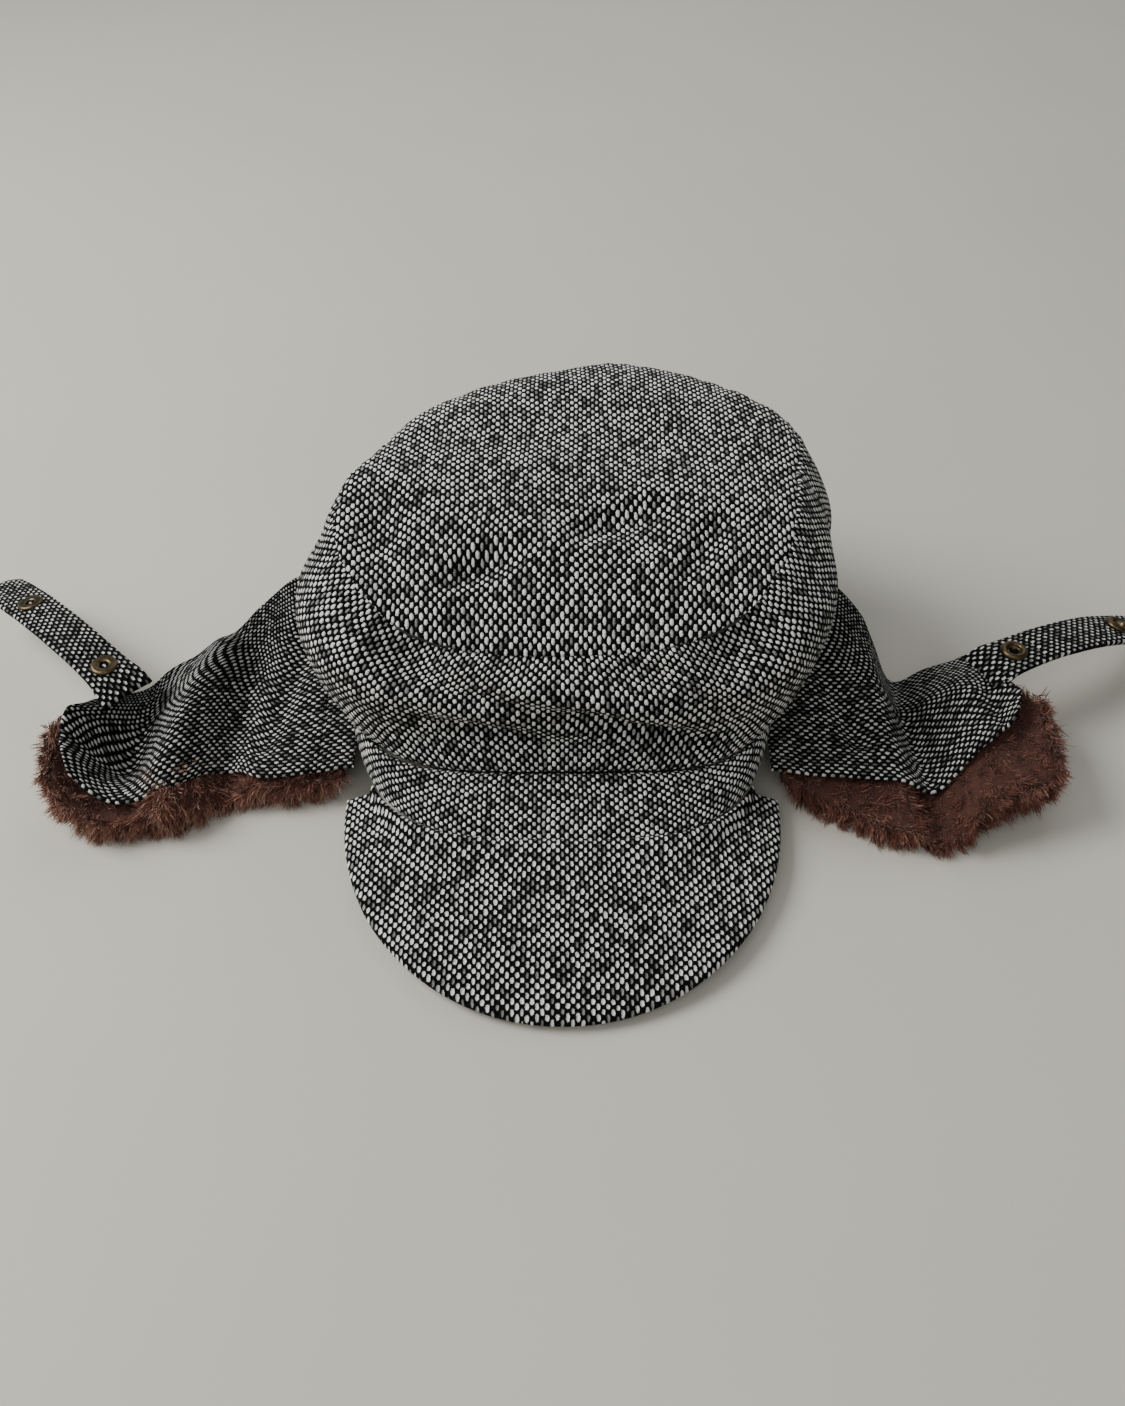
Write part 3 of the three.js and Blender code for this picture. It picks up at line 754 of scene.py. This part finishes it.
def hair_material(name, colour):
    material, _, _, shader = node_tree(name)
    set_shader(shader, Base_Color=(*colour, 1), Roughness=0.55, Specular_IOR_Level=0.25, Sheen_Weight=0.2)
    return material


TWEED = tweed_material("tweed", 1.0, 1.0)
# The flaps and straps get a copy with smaller ovals, for taut cloth, and white yarn dimmed to 0.72, which is
# painted shade.
TAUT_SHADED_TWEED = tweed_material("tweed_taut_shaded", 0.88, 0.72)
SATIN = satin_material()
CANVAS = canvas_material()
BOARD = board_material()
BRASS = brass_material()
HOLE_SHADE = hole_shade_material()
BACKING = skin_material()
HAIRS = [
    hair_material(f"fur_hair_{i}", colour)
    for i, colour in enumerate([
        (0.048, 0.013, 0.007), (0.088, 0.025, 0.014), (0.136, 0.042, 0.024),
        (0.20, 0.072, 0.043), (0.29, 0.130, 0.085), (0.42, 0.245, 0.175),
    ])
]

# ---------- Crown, band and peak ----------


def around_from_back(count):
    """Angles once around the cap, starting and ending at the middle of the back."""
    return np.linspace(-1.5 * HALF_TURN, 0.5 * HALF_TURN, count + 1)


def walk_from_front(points):
    """Distance along each level from the middle of the front, every level counted with the mean way round."""
    walked = lengths(points, 0)
    share = (walked - walked[len(points) // 2]) / walked[-1]
    return share * walked[-1].mean()


def back_seam(points, angles, normals):
    """The strip's ends meet in a seam at the middle of the back."""
    gap = np.abs(points[..., 0] - points[:1, :, 0])
    behind = smooth(np.sin(angles), 0.6, 0.9)[:, None]
    return points - normals * (1.0 * np.exp(-((gap / 2.0) ** 2)) * behind)[..., None]


def shell_and_lining(name, points, weave, normals, wrap):
    """A crown panel of tweed with its satin lining close under it, so that both have the same dents."""
    tweed = cloth(f"{name}_tweed_cloth", points, weave, CLOTH, TWEED, wrap=wrap)
    kept = (slice(None) if wrap else slice(3, -3), slice(3, -3))
    inner = (points - normals * (CLOTH + 3 * GAP))[kept]
    satin = cloth(
        f"{name}_lining_cloth", inner, weave[kept], LINING, SATIN, wrap=wrap,
    )
    return declared(tweed, points), declared(satin, inner)


def make_side_strip():
    angles = around_from_back(460)
    up = edge_steps(74)
    angle_grid, up_grid = np.meshgrid(angles, up, indexing="ij")
    points = strip_surface(angle_grid, up_grid)
    normals = surface_normals(points, True)
    height = lengths(points, 1)
    walk = walk_from_front(points)
    points = points + normals * (1.1 * unevenness(points, 34, 11))[..., None]
    points = points + normals * (0.45 * unevenness(points, 13, 12))[..., None]
    for start, end, width, depth in STRIP_CREASES:
        points = crease(points, start, end, width, depth, normals)
    for centre, size, depth in STRIP_DENTS:
        points = hollow(points, centre, size, depth, normals)
    points = puckered(points, normals, height[:, -1:] - height, walk, 0.5)
    points = puckered(points, normals, height, walk + 40, 0.6)
    points = back_seam(points, angles, normals)
    weave = np.stack([walk, height], -1) / YARN
    return shell_and_lining("side", points, weave, normals, True)


def make_top_panel():
    # A square grid laid over the round panel, so that no point of it is a pole.
    steps = 2 * edge_steps(104, (0.1, 0.3, 0.6, 1.3)) - 1
    across, along = np.meshgrid(steps, steps, indexing="ij")
    disc_x = across * np.sqrt(1 - along**2 / 2)
    disc_y = along * np.sqrt(1 - across**2 / 2)
    angle = np.arctan2(powered(disc_y, 1.15), powered(disc_x, 1.15))
    points = top_surface(angle, np.hypot(disc_x, disc_y))
    rim = level_point(TOP_SEAM, angle)
    up = np.broadcast_to(np.array((0.0, 0.0, 1.0)), points.shape)
    points = points + up * (1.2 * unevenness(points, 40, 21))[..., None]
    points = points + up * (0.4 * unevenness(points, 14, 22))[..., None]
    for centre, size, depth in TOP_DENTS:
        points = hollow(points, centre, size, depth, up)
    for start, end, width, depth in TOP_CREASES:
        points = crease(points, start, end, width, depth, up)
    gap = np.linalg.norm(points[..., :2] - rim[..., :2], axis=-1)
    points = puckered(points, up, gap, np.arctan2(disc_y, disc_x) * TOP_SEAM["half"], 0.5)
    weave = points[..., :2] / YARN
    return shell_and_lining("top", points, weave, up, False)


def make_band():
    angles = around_from_back(360)
    up = edge_steps(22)
    angle_grid, up_grid = np.meshgrid(angles, up * 1.05, indexing="ij")
    points = band_surface(angle_grid, up_grid)
    normals = surface_normals(points, True)
    height = lengths(points, 1)
    crown = 0.9 * np.sin(np.pi * np.clip(height / height[:, -1:], 0, 1)) - 0.6
    tuck = 2.0 * smooth(up_grid, 0.96, 1.03)
    points = points + normals * (crown - tuck)[..., None]
    points = points + normals * (0.35 * unevenness(points, 20, 31))[..., None]
    walk = walk_from_front(points)
    points = back_seam(points, angles, normals)
    weave = np.stack([walk, height], -1) / YARN
    piece = cloth("band_cloth", points, weave, CLOTH, TWEED, wrap=True)
    return (declared(piece, points),)


def make_peak():
    share, out = np.meshgrid(edge_steps(150), edge_steps(64, (0.1, 0.3, 0.6, 1.2, 1.9)), indexing="ij")
    points = peak_surface(share, out)
    up = unit(np.array((0.0, -0.12, 1.0)))
    normals = np.broadcast_to(up, points.shape)
    points = points + normals * (0.35 * unevenness(points, 30, 41))[..., None]
    # The rear corners come up to the band's lower edge, and the peak is thicker there.
    band_z = level_point(BAND_BOTTOM, mix(-HALF_TURN * 0.81, -HALF_TURN * 0.19, share))[..., 2]
    lift = np.maximum(0, band_z + 1.5 - points[..., 2]) * (1 - smooth(out, 0, 0.28))
    points = points + normals * lift[..., None]
    into = lengths(points, 1)
    points = points + normals * (-0.9 * np.exp(-((into / 3.0) ** 2)))[..., None]
    weave = points[..., :2] / YARN
    return (cloth("peak_cloth", points, weave, PEAK_THICK + lift, TWEED, outward=normals, rounding=3.4),)


# ---------- Flaps ----------


def flap_cloth(name, ribs, side, seed):
    """An ear flap's tweed in two pieces: one bends at the band, the other where the flap folds up."""
    made = []
    reached = 0.0
    for suffix, first, last, columns in (("root", 0.0, FLAP_SPLIT, 14), ("outer", FLAP_SPLIT, 1.0, 96)):
        out, back = np.meshgrid(mix(first, last, edge_steps(columns)), edge_steps(84), indexing="ij")
        points = flap_surface(ribs, side, out, back)
        points[..., 0] -= side * 4.5 * (1 - smooth(out, 0, 0.05))
        rows = lengths(points, 0) + reached
        reached = rows[-1:]
        weave = np.stack([lengths(points, 1), rows], -1) / YARN
        normals = surface_normals(points, False) * side
        hills = 0.7 * unevenness(points, 26, seed) + 0.3 * unevenness(points, 11, seed + 1)
        points = points + normals * hills[..., None]
        if side < 0:
            points, normals, weave = points[::-1], normals[::-1], weave[::-1]
        piece = cloth(f"{name}_{suffix}_cloth", points, weave, FLAP_SHELL, TAUT_SHADED_TWEED, outward=normals)
        made.append(declared(piece, points))
    return made


def neck_cloth():
    around, out = np.meshgrid(edge_steps(150), edge_steps(40), indexing="ij")
    points = neck_surface(around, out)
    inward = unit(xyz(points[..., 0], points[..., 1] - BAND_BOTTOM["middle"], 0))
    points = points - inward * (5.5 * (1 - smooth(out, 0, 0.15)))[..., None]
    normals = surface_normals(points, False)
    normals = normals * np.sign(normals[..., 2:3])
    hills = 0.9 * unevenness(points, 30, 51) + 0.3 * unevenness(points, 12, 52)
    points = points + normals * hills[..., None]
    weave = points[..., :2] / YARN
    piece = cloth("neck_flap_cloth", points[::-1], weave[::-1], FLAP_SHELL, TAUT_SHADED_TWEED, outward=normals[::-1])
    return declared(piece, points)


# ---------- Fur ----------

BACKING_INSET = 4.0
ROOT_DEPTH = 2.0
NECK_TONE = 1.2
HIDDEN_PILE = dict(per_square_mm=0.30, length=4.2, width=0.9)
TOP_PILE = dict(per_square_mm=2.4, length=7.5, width=0.42)
EDGE_PILE = dict(per_square_mm=2.6, length=7.5, width=0.42)
SHORT_PILE = dict(per_square_mm=1.5, length=4.5, width=0.45)
NECK_HIDDEN_PILE = dict(per_square_mm=0.28, length=4.2, width=0.9)
NECK_EDGE_PILE = dict(per_square_mm=2.4, length=7.0, width=0.42)


def block_object(name, place, columns, rows, finish, inset):
    """The pile's dark body: a closed block drawn in a little from the tips of the hairs."""
    first = np.linspace(0, 1, columns + 1)
    second = np.linspace(0, 1, rows + 1)
    a, b = np.meshgrid(first, second, indexing="ij")
    upper, lower = place(a, b, np.full_like(a, 1.0)), place(a, b, np.full_like(a, 0.0))
    centre = (upper + lower) / 2
    lower[..., 2] += inset
    edge = np.minimum(np.minimum(a, 1 - a), np.minimum(b, 1 - b))
    flat = smooth(edge, 0, 0.04)[..., None]
    upper = mix(mix(upper, centre, 0.55), upper, flat)
    lower = mix(mix(lower, centre, 0.55), lower, flat)
    index = np.arange(a.size).reshape(a.shape)

    top, bottom = index, index + a.size
    ring = np.concatenate([top[:, 0], top[-1, 1:], top[-2::-1, -1], top[0, -2::-1]])
    around = np.stack([ring[:-1], ring[:-1] + a.size, ring[1:] + a.size, ring[1:]], -1)
    faces = np.concatenate([cells(top), cells(bottom)[:, ::-1], around])
    vertices = np.concatenate([upper.reshape(-1, 3), lower.reshape(-1, 3)])
    obj = make_object(name, to_row(vertices), faces, [finish])
    bpy.context.view_layer.objects.active = obj
    bpy.ops.object.select_all(action="DESELECT")
    obj.select_set(True)
    bpy.ops.object.mode_set(mode="EDIT")
    bpy.ops.mesh.select_all(action="SELECT")
    bpy.ops.mesh.normals_make_consistent(inside=False)
    bpy.ops.object.mode_set(mode="OBJECT")
    return obj


def hairs(name, roots, directions, length, width, tones):
    """A pile of flat tapered hairs in small tufts. roots and directions are in millimetres."""
    count = len(roots)
    lean = unit(directions)
    tuft = np.floor(roots / 4.5 + unevenness(roots, 9, 61)[:, None] * 0.6).astype(int)
    _, tuft = np.unique(tuft, axis=0, return_inverse=True)
    tuft = tuft.ravel()
    tufts = tuft.max() + 1
    shared = random.normal(size=(tufts, 3)) * 0.42
    own = random.normal(size=(count, 3)) * 0.20
    middle = np.stack([np.bincount(tuft, roots[:, k]) for k in range(3)], -1)
    middle = middle / np.bincount(tuft)[:, None]
    gather = (middle[tuft] - roots) * 0.45 / length
    heading = unit(lean + shared[tuft] + own + gather)
    long = length * random.uniform(0.62, 1.05, count) * random.uniform(0.85, 1.1, tufts)[tuft]
    curl = unit(random.normal(size=(count, 3))) * 0.22 + np.array((0.0, 0.0, -0.16))
    side = unit(np.cross(heading, unit(random.normal(size=(count, 3)))))
    shares = np.array((0.0, 0.4, 0.75, 1.0))
    halves = width / 2 * np.array((1.0, 0.9, 0.6, 0.12))
    rows = []
    for share, half in zip(shares, halves):
        centre = roots + heading * (long * share)[:, None] + curl * (long * share**2)[:, None]
        centre[:, 2] = np.maximum(centre[:, 2], 0.15)
        rows += [centre - side * half, centre + side * half]
    vertices = np.stack(rows, 1).reshape(-1, 3)
    start = np.arange(count)[:, None, None] * len(rows)
    quad = np.array([[0, 1, 3, 2], [2, 3, 5, 4], [4, 5, 7, 6]])
    faces = (start + quad[None]).reshape(-1, 4)
    own_tone = random.normal(size=count) * 0.7
    tone = np.clip(tones + own_tone + random.normal(size=tufts)[tuft] * 0.5, 0, 3)
    shade = np.clip(np.round(tone[:, None] + np.array((-0.6, 0.7, 1.9))), 0, len(HAIRS) - 1)
    obj = make_object(
        name, to_row(vertices), faces, HAIRS, face_material=shade.ravel(), smooth_shading=False,
    )
    return obj


def scatter(place, low, high, per_square_mm, region):
    """Random places on a surface patch between two corners, and how the patch faces there."""
    a = np.linspace(low[0], high[0], 40)
    b = np.linspace(low[1], high[1], 40)
    grid = place(*np.meshgrid(a, b, indexing="ij"))
    patches = np.cross(grid[1:, :-1] - grid[:-1, :-1], grid[:-1, 1:] - grid[:-1, :-1])
    area = np.linalg.norm(patches, axis=-1)
    count = int(area.sum() * per_square_mm)
    chosen = random.choice(area.size, count, p=area.ravel() / area.sum())
    i, j = np.unravel_index(chosen, area.shape)
    at_a = a[i] + random.uniform(0, 1, count) * (a[1] - a[0])
    at_b = b[j] + random.uniform(0, 1, count) * (b[1] - b[0])
    kept = random.uniform(0, 1, count) < region(at_a, at_b)
    at_a, at_b = at_a[kept], at_b[kept]
    nudge = 1e-3
    here = place(at_a, at_b)
    facing = np.cross(place(at_a + nudge, at_b) - here, place(at_a, at_b + nudge) - here)
    return here, unit(facing)


def everywhere(a, b):
    return np.ones_like(a)


def toward(directions, axis):
    """Turns each direction to the side of the wanted axis."""
    flip = np.sign(directions @ np.array(axis, float) + 1e-9)
    return directions * flip[:, None]


def pile(name, surface, low, high, kind, facing, lean, tone, region=everywhere):
    """Hairs over a surface patch, as a list that is empty where no hair falls."""
    roots, directions = scatter(surface, low, high, kind["per_square_mm"], region)
    if not len(roots):
        return []
    directions = toward(directions, facing)
    roots = roots - directions * ROOT_DEPTH
    return [hairs(name, roots, directions + lean, kind["length"], kind["width"], tone)]


def ear_flap_fur(name, ribs, side, shows, tone):
    """Backing and pile of an ear flap's lining: the base's pieces, then the flap's."""

    def underside(a, b):
        return fur_block(ribs, side, shows, a, b, np.zeros_like(a)) + (0, 0, BACKING_INSET)

    def upper_side(a, b):
        return fur_block(ribs, side, shows, a, b, np.ones_like(a))

    def front_edge(a, b):
        return fur_block(ribs, side, shows, a, np.zeros_like(a), b * 0.9)

    def rear_edge(a, b):
        return fur_block(ribs, side, shows, a, np.ones_like(a), b * 0.8)

    def outer_end(a, b):
        return fur_block(ribs, side, shows, np.ones_like(a), a, b * 0.9)

    def past_the_tweed(a, b):
        return np.clip(3 * np.maximum(*fur_spread(a, b)), 0, 1)

    upright, forward = np.zeros(3), np.array((side * 0.35, -1.1, 0.0))
    pieces = []
    for suffix, first, last, columns in (("root", 0.0, FLAP_SPLIT, 10), ("outer", FLAP_SPLIT, 1.0, 60)):
        def inside(a, b, up, first=first, last=last):
            return fur_block(ribs, side, shows, mix(first, last, a), b, up)

        base = f"{name}_{suffix}"
        made = [block_object(f"{base}_backing", inside, columns, 44, BACKING, BACKING_INSET)]
        low, high = (first, 0.0), (last, 1.0)
        made += pile(f"{base}_pile_0", underside, low, high, HIDDEN_PILE, (0, 0, -1), upright, tone)
        made += pile(
            f"{base}_pile_1", upper_side, low, high, TOP_PILE, (0, 0, 1), forward, tone, past_the_tweed,
        )
        made += pile(f"{base}_pile_2", front_edge, low, high, EDGE_PILE, (0, -1, -0.1), forward, tone)
        made += pile(f"{base}_pile_3", rear_edge, low, high, SHORT_PILE, (0, 1, -0.3), upright, tone)
        if suffix == "outer":
            whole = (0.0, 0.0), (1.0, 1.0)
            made += pile(f"{base}_pile_4", outer_end, *whole, EDGE_PILE, (side, -0.2, 0), upright, tone)
        pieces.append(made)
    return pieces


def neck_flap_fur():
    def underside(a, b):
        return neck_block(a, b, np.zeros_like(a)) + (0, 0, BACKING_INSET)

    def outer_edge(a, b):
        return neck_block(a, np.ones_like(a), b * 0.95)

    def first_end(a, b):
        return neck_block(np.zeros_like(a), a, b * 0.8)

    def last_end(a, b):
        return neck_block(np.ones_like(a), a, b * 0.8)

    made = [block_object("neck_flap_backing", neck_block, 90, 24, BACKING, BACKING_INSET)]
    for index, (surface, kind, facing) in enumerate((
        (underside, NECK_HIDDEN_PILE, (0, 0, -1)),
        (outer_edge, NECK_EDGE_PILE, (0, 1, 0)),
        (first_end, SHORT_PILE, (1, 0, 0)),
        (last_end, SHORT_PILE, (-1, 0, 0)),
    )):
        made += pile(f"neck_flap_pile_{index}", surface, (0, 0), (1, 1), kind, facing, np.zeros(3), NECK_TONE)
    return made


def joined(name, objects):
    """One object from several, keeping the first one's slot."""
    bpy.ops.object.select_all(action="DESELECT")
    for obj in objects:
        obj.select_set(True)
    bpy.context.view_layer.objects.active = objects[0]
    bpy.ops.object.join()
    objects[0].name = name
    return objects[0]


# ---------- Straps and press-snaps ----------


def strap_cloth(name, strap, first, last):
    steps = edge_steps(int((last - first) / 1.4))
    distance, across = np.meshgrid(mix(first, last, steps), edge_steps(18), indexing="ij")
    centre, _, sideways, square = strap_frame(strap, distance)
    centre[..., 2] -= 3.2 * (1 - smooth(distance, -6, 4))
    half = strap_half_width(np.maximum(distance, 0))
    place = across * 2 - 1
    points = centre + sideways * (place * half)[..., None]
    crown = 0.35 * (1 - place**2) - 0.55 * np.exp(-(((np.abs(place) - 0.86) / 0.05) ** 2))
    points = points + square * (STRAP_THICK / 2 + crown + 0.2 * unevenness(points, 12, 71))[..., None]
    weave = np.stack([place * half, distance], -1) / YARN
    obj = cloth(
        name, points[:, ::-1], weave[:, ::-1], STRAP_THICK, TAUT_SHADED_TWEED, outward=square[:, ::-1], rounding=1.6,
    )
    return declared(obj, points)


def lathe(name, profile, strap, distance, finish, steps=44):
    """A turned piece on a strap. profile is radius and height above the strap's middle."""
    profile = np.array(profile, float)
    turn = np.linspace(0, 2 * math.pi, steps, endpoint=False)
    centre, along, across, square = strap_frame(strap, np.array(float(distance)))
    rounds = np.cos(turn)[:, None, None] * along + np.sin(turn)[:, None, None] * across
    points = centre + rounds * profile[None, :, :1] + square * profile[None, :, 1:]
    index = np.arange(points.shape[0] * points.shape[1]).reshape(points.shape[:2])
    following = np.roll(index, -1, axis=0)
    wrapped = np.concatenate([index, index[:, :1]], 1), np.concatenate([following, following[:, :1]], 1)
    a, b = wrapped
    faces = np.stack([a[:, :-1], b[:, :-1], b[:, 1:], a[:, 1:]], -1).reshape(-1, 4)
    ends = profile, np.roll(profile, -1, axis=0)
    # Faces inside the hole, within HOLE_RADIUS and above the strap's middle, take the near-black second
    # material: painted shade.
    in_hole = (np.maximum(ends[0][:, 0], ends[1][:, 0]) < HOLE_RADIUS) & (ends[0][:, 1] + ends[1][:, 1] > 0)
    parts = np.tile(in_hole, steps).astype(int)
    vertices = to_row(points.reshape(-1, 3))
    obj = make_object(name, vertices, faces[:, ::-1], [finish, HOLE_SHADE], face_material=parts)
    return obj


FACE = STRAP_THICK / 2 + 0.35
HOLE_RADIUS = 2.45

EYELET = [
    (0.01, -FACE), (2.1, -FACE), (2.1, FACE), (5.9, FACE),
    (6.15, FACE + 0.12), (6.2, FACE + 0.4), (6.0, FACE + 0.75),
    (5.4, FACE + 1.15), (4.6, FACE + 1.3), (3.6, FACE + 1.15),
    (3.3, FACE + 1.25), (2.7, FACE + 1.1), (2.1, FACE + 0.7),
    (1.8, FACE + 0.3), (1.7, FACE - 0.1), (0.01, FACE - 0.1),
]
STUD = [
    (1.5, -FACE - 0.4), (1.5, -FACE - 2.9), (1.8, -FACE - 3.0), (2.5, -FACE - 2.95), (3.0, -FACE - 2.6),
    (3.1, -FACE - 2.2), (2.7, -FACE - 1.4), (5.2, -FACE - 1.3), (5.7, -FACE - 0.9), (5.8, -FACE - 0.4),
]
SOCKET = [
    (2.5, FACE + 0.05), (6.0, FACE + 0.05), (6.2, FACE + 0.3),
    (6.2, FACE + 0.9), (6.0, FACE + 1.5), (5.5, FACE + 2.1),
    (4.9, FACE + 2.45), (4.3, FACE + 2.5), (3.8, FACE + 2.3),
    (3.4, FACE + 2.0), (3.15, FACE + 1.5), (3.0, FACE + 0.7),
    (2.5, FACE + 0.4),
]
BACK_CAP = [
    (0.01, -FACE - 1.5), (2.0, -FACE - 1.47), (4.2, -FACE - 1.3), (5.5, -FACE - 0.9), (6.1, -FACE - 0.4),
    (6.2, -FACE - 0.05), (2.0, -FACE - 0.02), (2.0, FACE + 0.28), (0.01, FACE + 0.28),
]


def strap_with_snaps(side, strap, upper, lower):
    """One strap in two pieces of cloth, and its press-snaps. The CAD solids of all of them are replaced."""
    base = f"{side}_strap"
    first = strap_cloth(f"{base}_near_cloth", strap, -6.0, STRAP_SPLIT)
    second = strap_cloth(f"{base}_far_cloth", strap, STRAP_SPLIT, STRAP_LENGTH)
    for link, distance in (("near", 11.5), ("far", 82)):
        for kind, profile in (upper, lower):
            node = f"{side}_snap_{link}_{kind}"
            made = lathe(f"{node}_metal", profile, strap, distance, BRASS)
            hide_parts(node)
            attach(made, f"{base}_{link}")
    return first, second


# ---------- Assembly ----------

for make, replaced in (
    (make_side_strip, (["crown_side_strip"], ["side_lining"])),
    (make_top_panel, (["top_panel"], ["top_lining"])),
    (make_band, (["band"],)),
    (make_peak, (["peak_cover_top", "peak_cover_under"],)),
):
    for piece, nodes in zip(make(), replaced):
        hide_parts(*nodes)
        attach(piece, "cap")

# The fifth value sets how light the fur's hairs are: part of it is the fur's own colour, and the gap between
# the right flap's 2.4 and the left's 1.1 is painted light on the right flap, which is on the window's side,
# and painted shade on the left flap.
for side_name, ribs, side, shows, tone, seed in (
    ("left", LEFT_RIBS, 1, 25, 1.1, 81),
    ("right", RIGHT_RIBS, -1, 9, 2.4, 91),
):
    base = f"{side_name}_ear_flap"
    root, outer = flap_cloth(base, ribs, side, seed)
    (root_fur, outer_fur) = (
        joined(f"{base}_{suffix}_fur_pile", pieces)
        for suffix, pieces in zip(("root", "outer"), ear_flap_fur(base, ribs, side, shows, tone))
    )
    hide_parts(f"{base}_base_tweed")
    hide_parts(f"{base}_tweed")
    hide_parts(f"{base}_base_fur")
    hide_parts(f"{base}_fur")
    for piece in (root, root_fur):
        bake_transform(piece)
    for piece in (outer, outer_fur):
        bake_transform(piece)

neck = neck_cloth()
neck_fur = joined("neck_flap_fur_pile", neck_flap_fur())
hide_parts("neck_flap_tweed")
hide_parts("neck_flap_fur")
for piece in (neck, neck_fur):
    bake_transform(piece)

for side_name, strap, upper, lower in (
    ("left", LEFT_STRAP, ("socket", SOCKET), ("cap", BACK_CAP)),
    ("right", RIGHT_STRAP, ("eyelet", EYELET), ("stud", STUD)),
):
    base = f"{side_name}_strap"
    near, far = strap_with_snaps(side_name, strap, upper, lower)
    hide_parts(f"{base}_near")
    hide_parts(f"{base}_far")
    ends = (-1.5, 5.0, STRAP_BEND - 7, STRAP_BEND + 7)
    at = [tuple(to_row(strap_centre(strap, np.array(float(d))))) for d in ends]
    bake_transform(near)
    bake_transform(far)

for node, finish in (("band_stiffener", CANVAS), ("sweatband", SATIN), ("peak_board", BOARD)):
    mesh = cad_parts[node].data
    mesh.materials.clear()
    mesh.materials.append(finish)

# ---------- Floor, light and camera ----------


def stage_material(name, colour, roughness):
    material, nodes, links, shader = node_tree(name)
    g = Graph(nodes, links)
    grain = g.noise(g.here(), 6.0, 3.0)
    darker = tuple(0.93 * c for c in colour)
    links.new(g.blend(grain, (*darker, 1), (*colour, 1)), shader.inputs["Base Color"])
    set_shader(shader, Roughness=roughness)
    return material


bpy.ops.mesh.primitive_plane_add(size=8, location=(0, 0, -0.0005))
floor = bpy.context.object
floor.name = "floor"
floor.data.materials.append(stage_material("pale_floor", (0.60, 0.57, 0.49), 0.75))


def soft_light(name, place, target, size, watts, colour=(1, 1, 1)):
    data = bpy.data.lights.new(name, "AREA")
    data.size, data.energy, data.color = size, watts, colour
    light = bpy.data.objects.new(name, data)
    light.location = place
    light.rotation_euler = (Vector(target) - Vector(place)).to_track_quat("-Z", "Y").to_euler()
    bpy.context.scene.collection.objects.link(light)


soft_light("window", (-1.3, 0.15, 1.25), (0, 0, 0), 0.9, 34)
soft_light("fill", (-0.3, -1.2, 1.4), (0, 0, 0.05), 1.6, 9)
soft_light("back", (0.3, 1.4, 1.2), (0, 0, 0.05), 1.4, 7)
world = bpy.data.worlds.new("room")
bpy.context.scene.world = world
world.use_nodes = True
world.node_tree.nodes["Background"].inputs["Color"].default_value = (0.80, 0.83, 0.86, 1)
world.node_tree.nodes["Background"].inputs["Strength"].default_value = 0.3

camera_data = bpy.data.cameras.new("camera")
camera_data.lens = 29.9
camera_data.sensor_width = 36
camera = bpy.data.objects.new("camera", camera_data)
camera.location = (SHIFT[0], SHIFT[1] - 0.385, 0.416)
camera.rotation_euler = (math.radians(44), 0, 0)
bpy.context.scene.collection.objects.link(camera)
bpy.context.scene.camera = camera
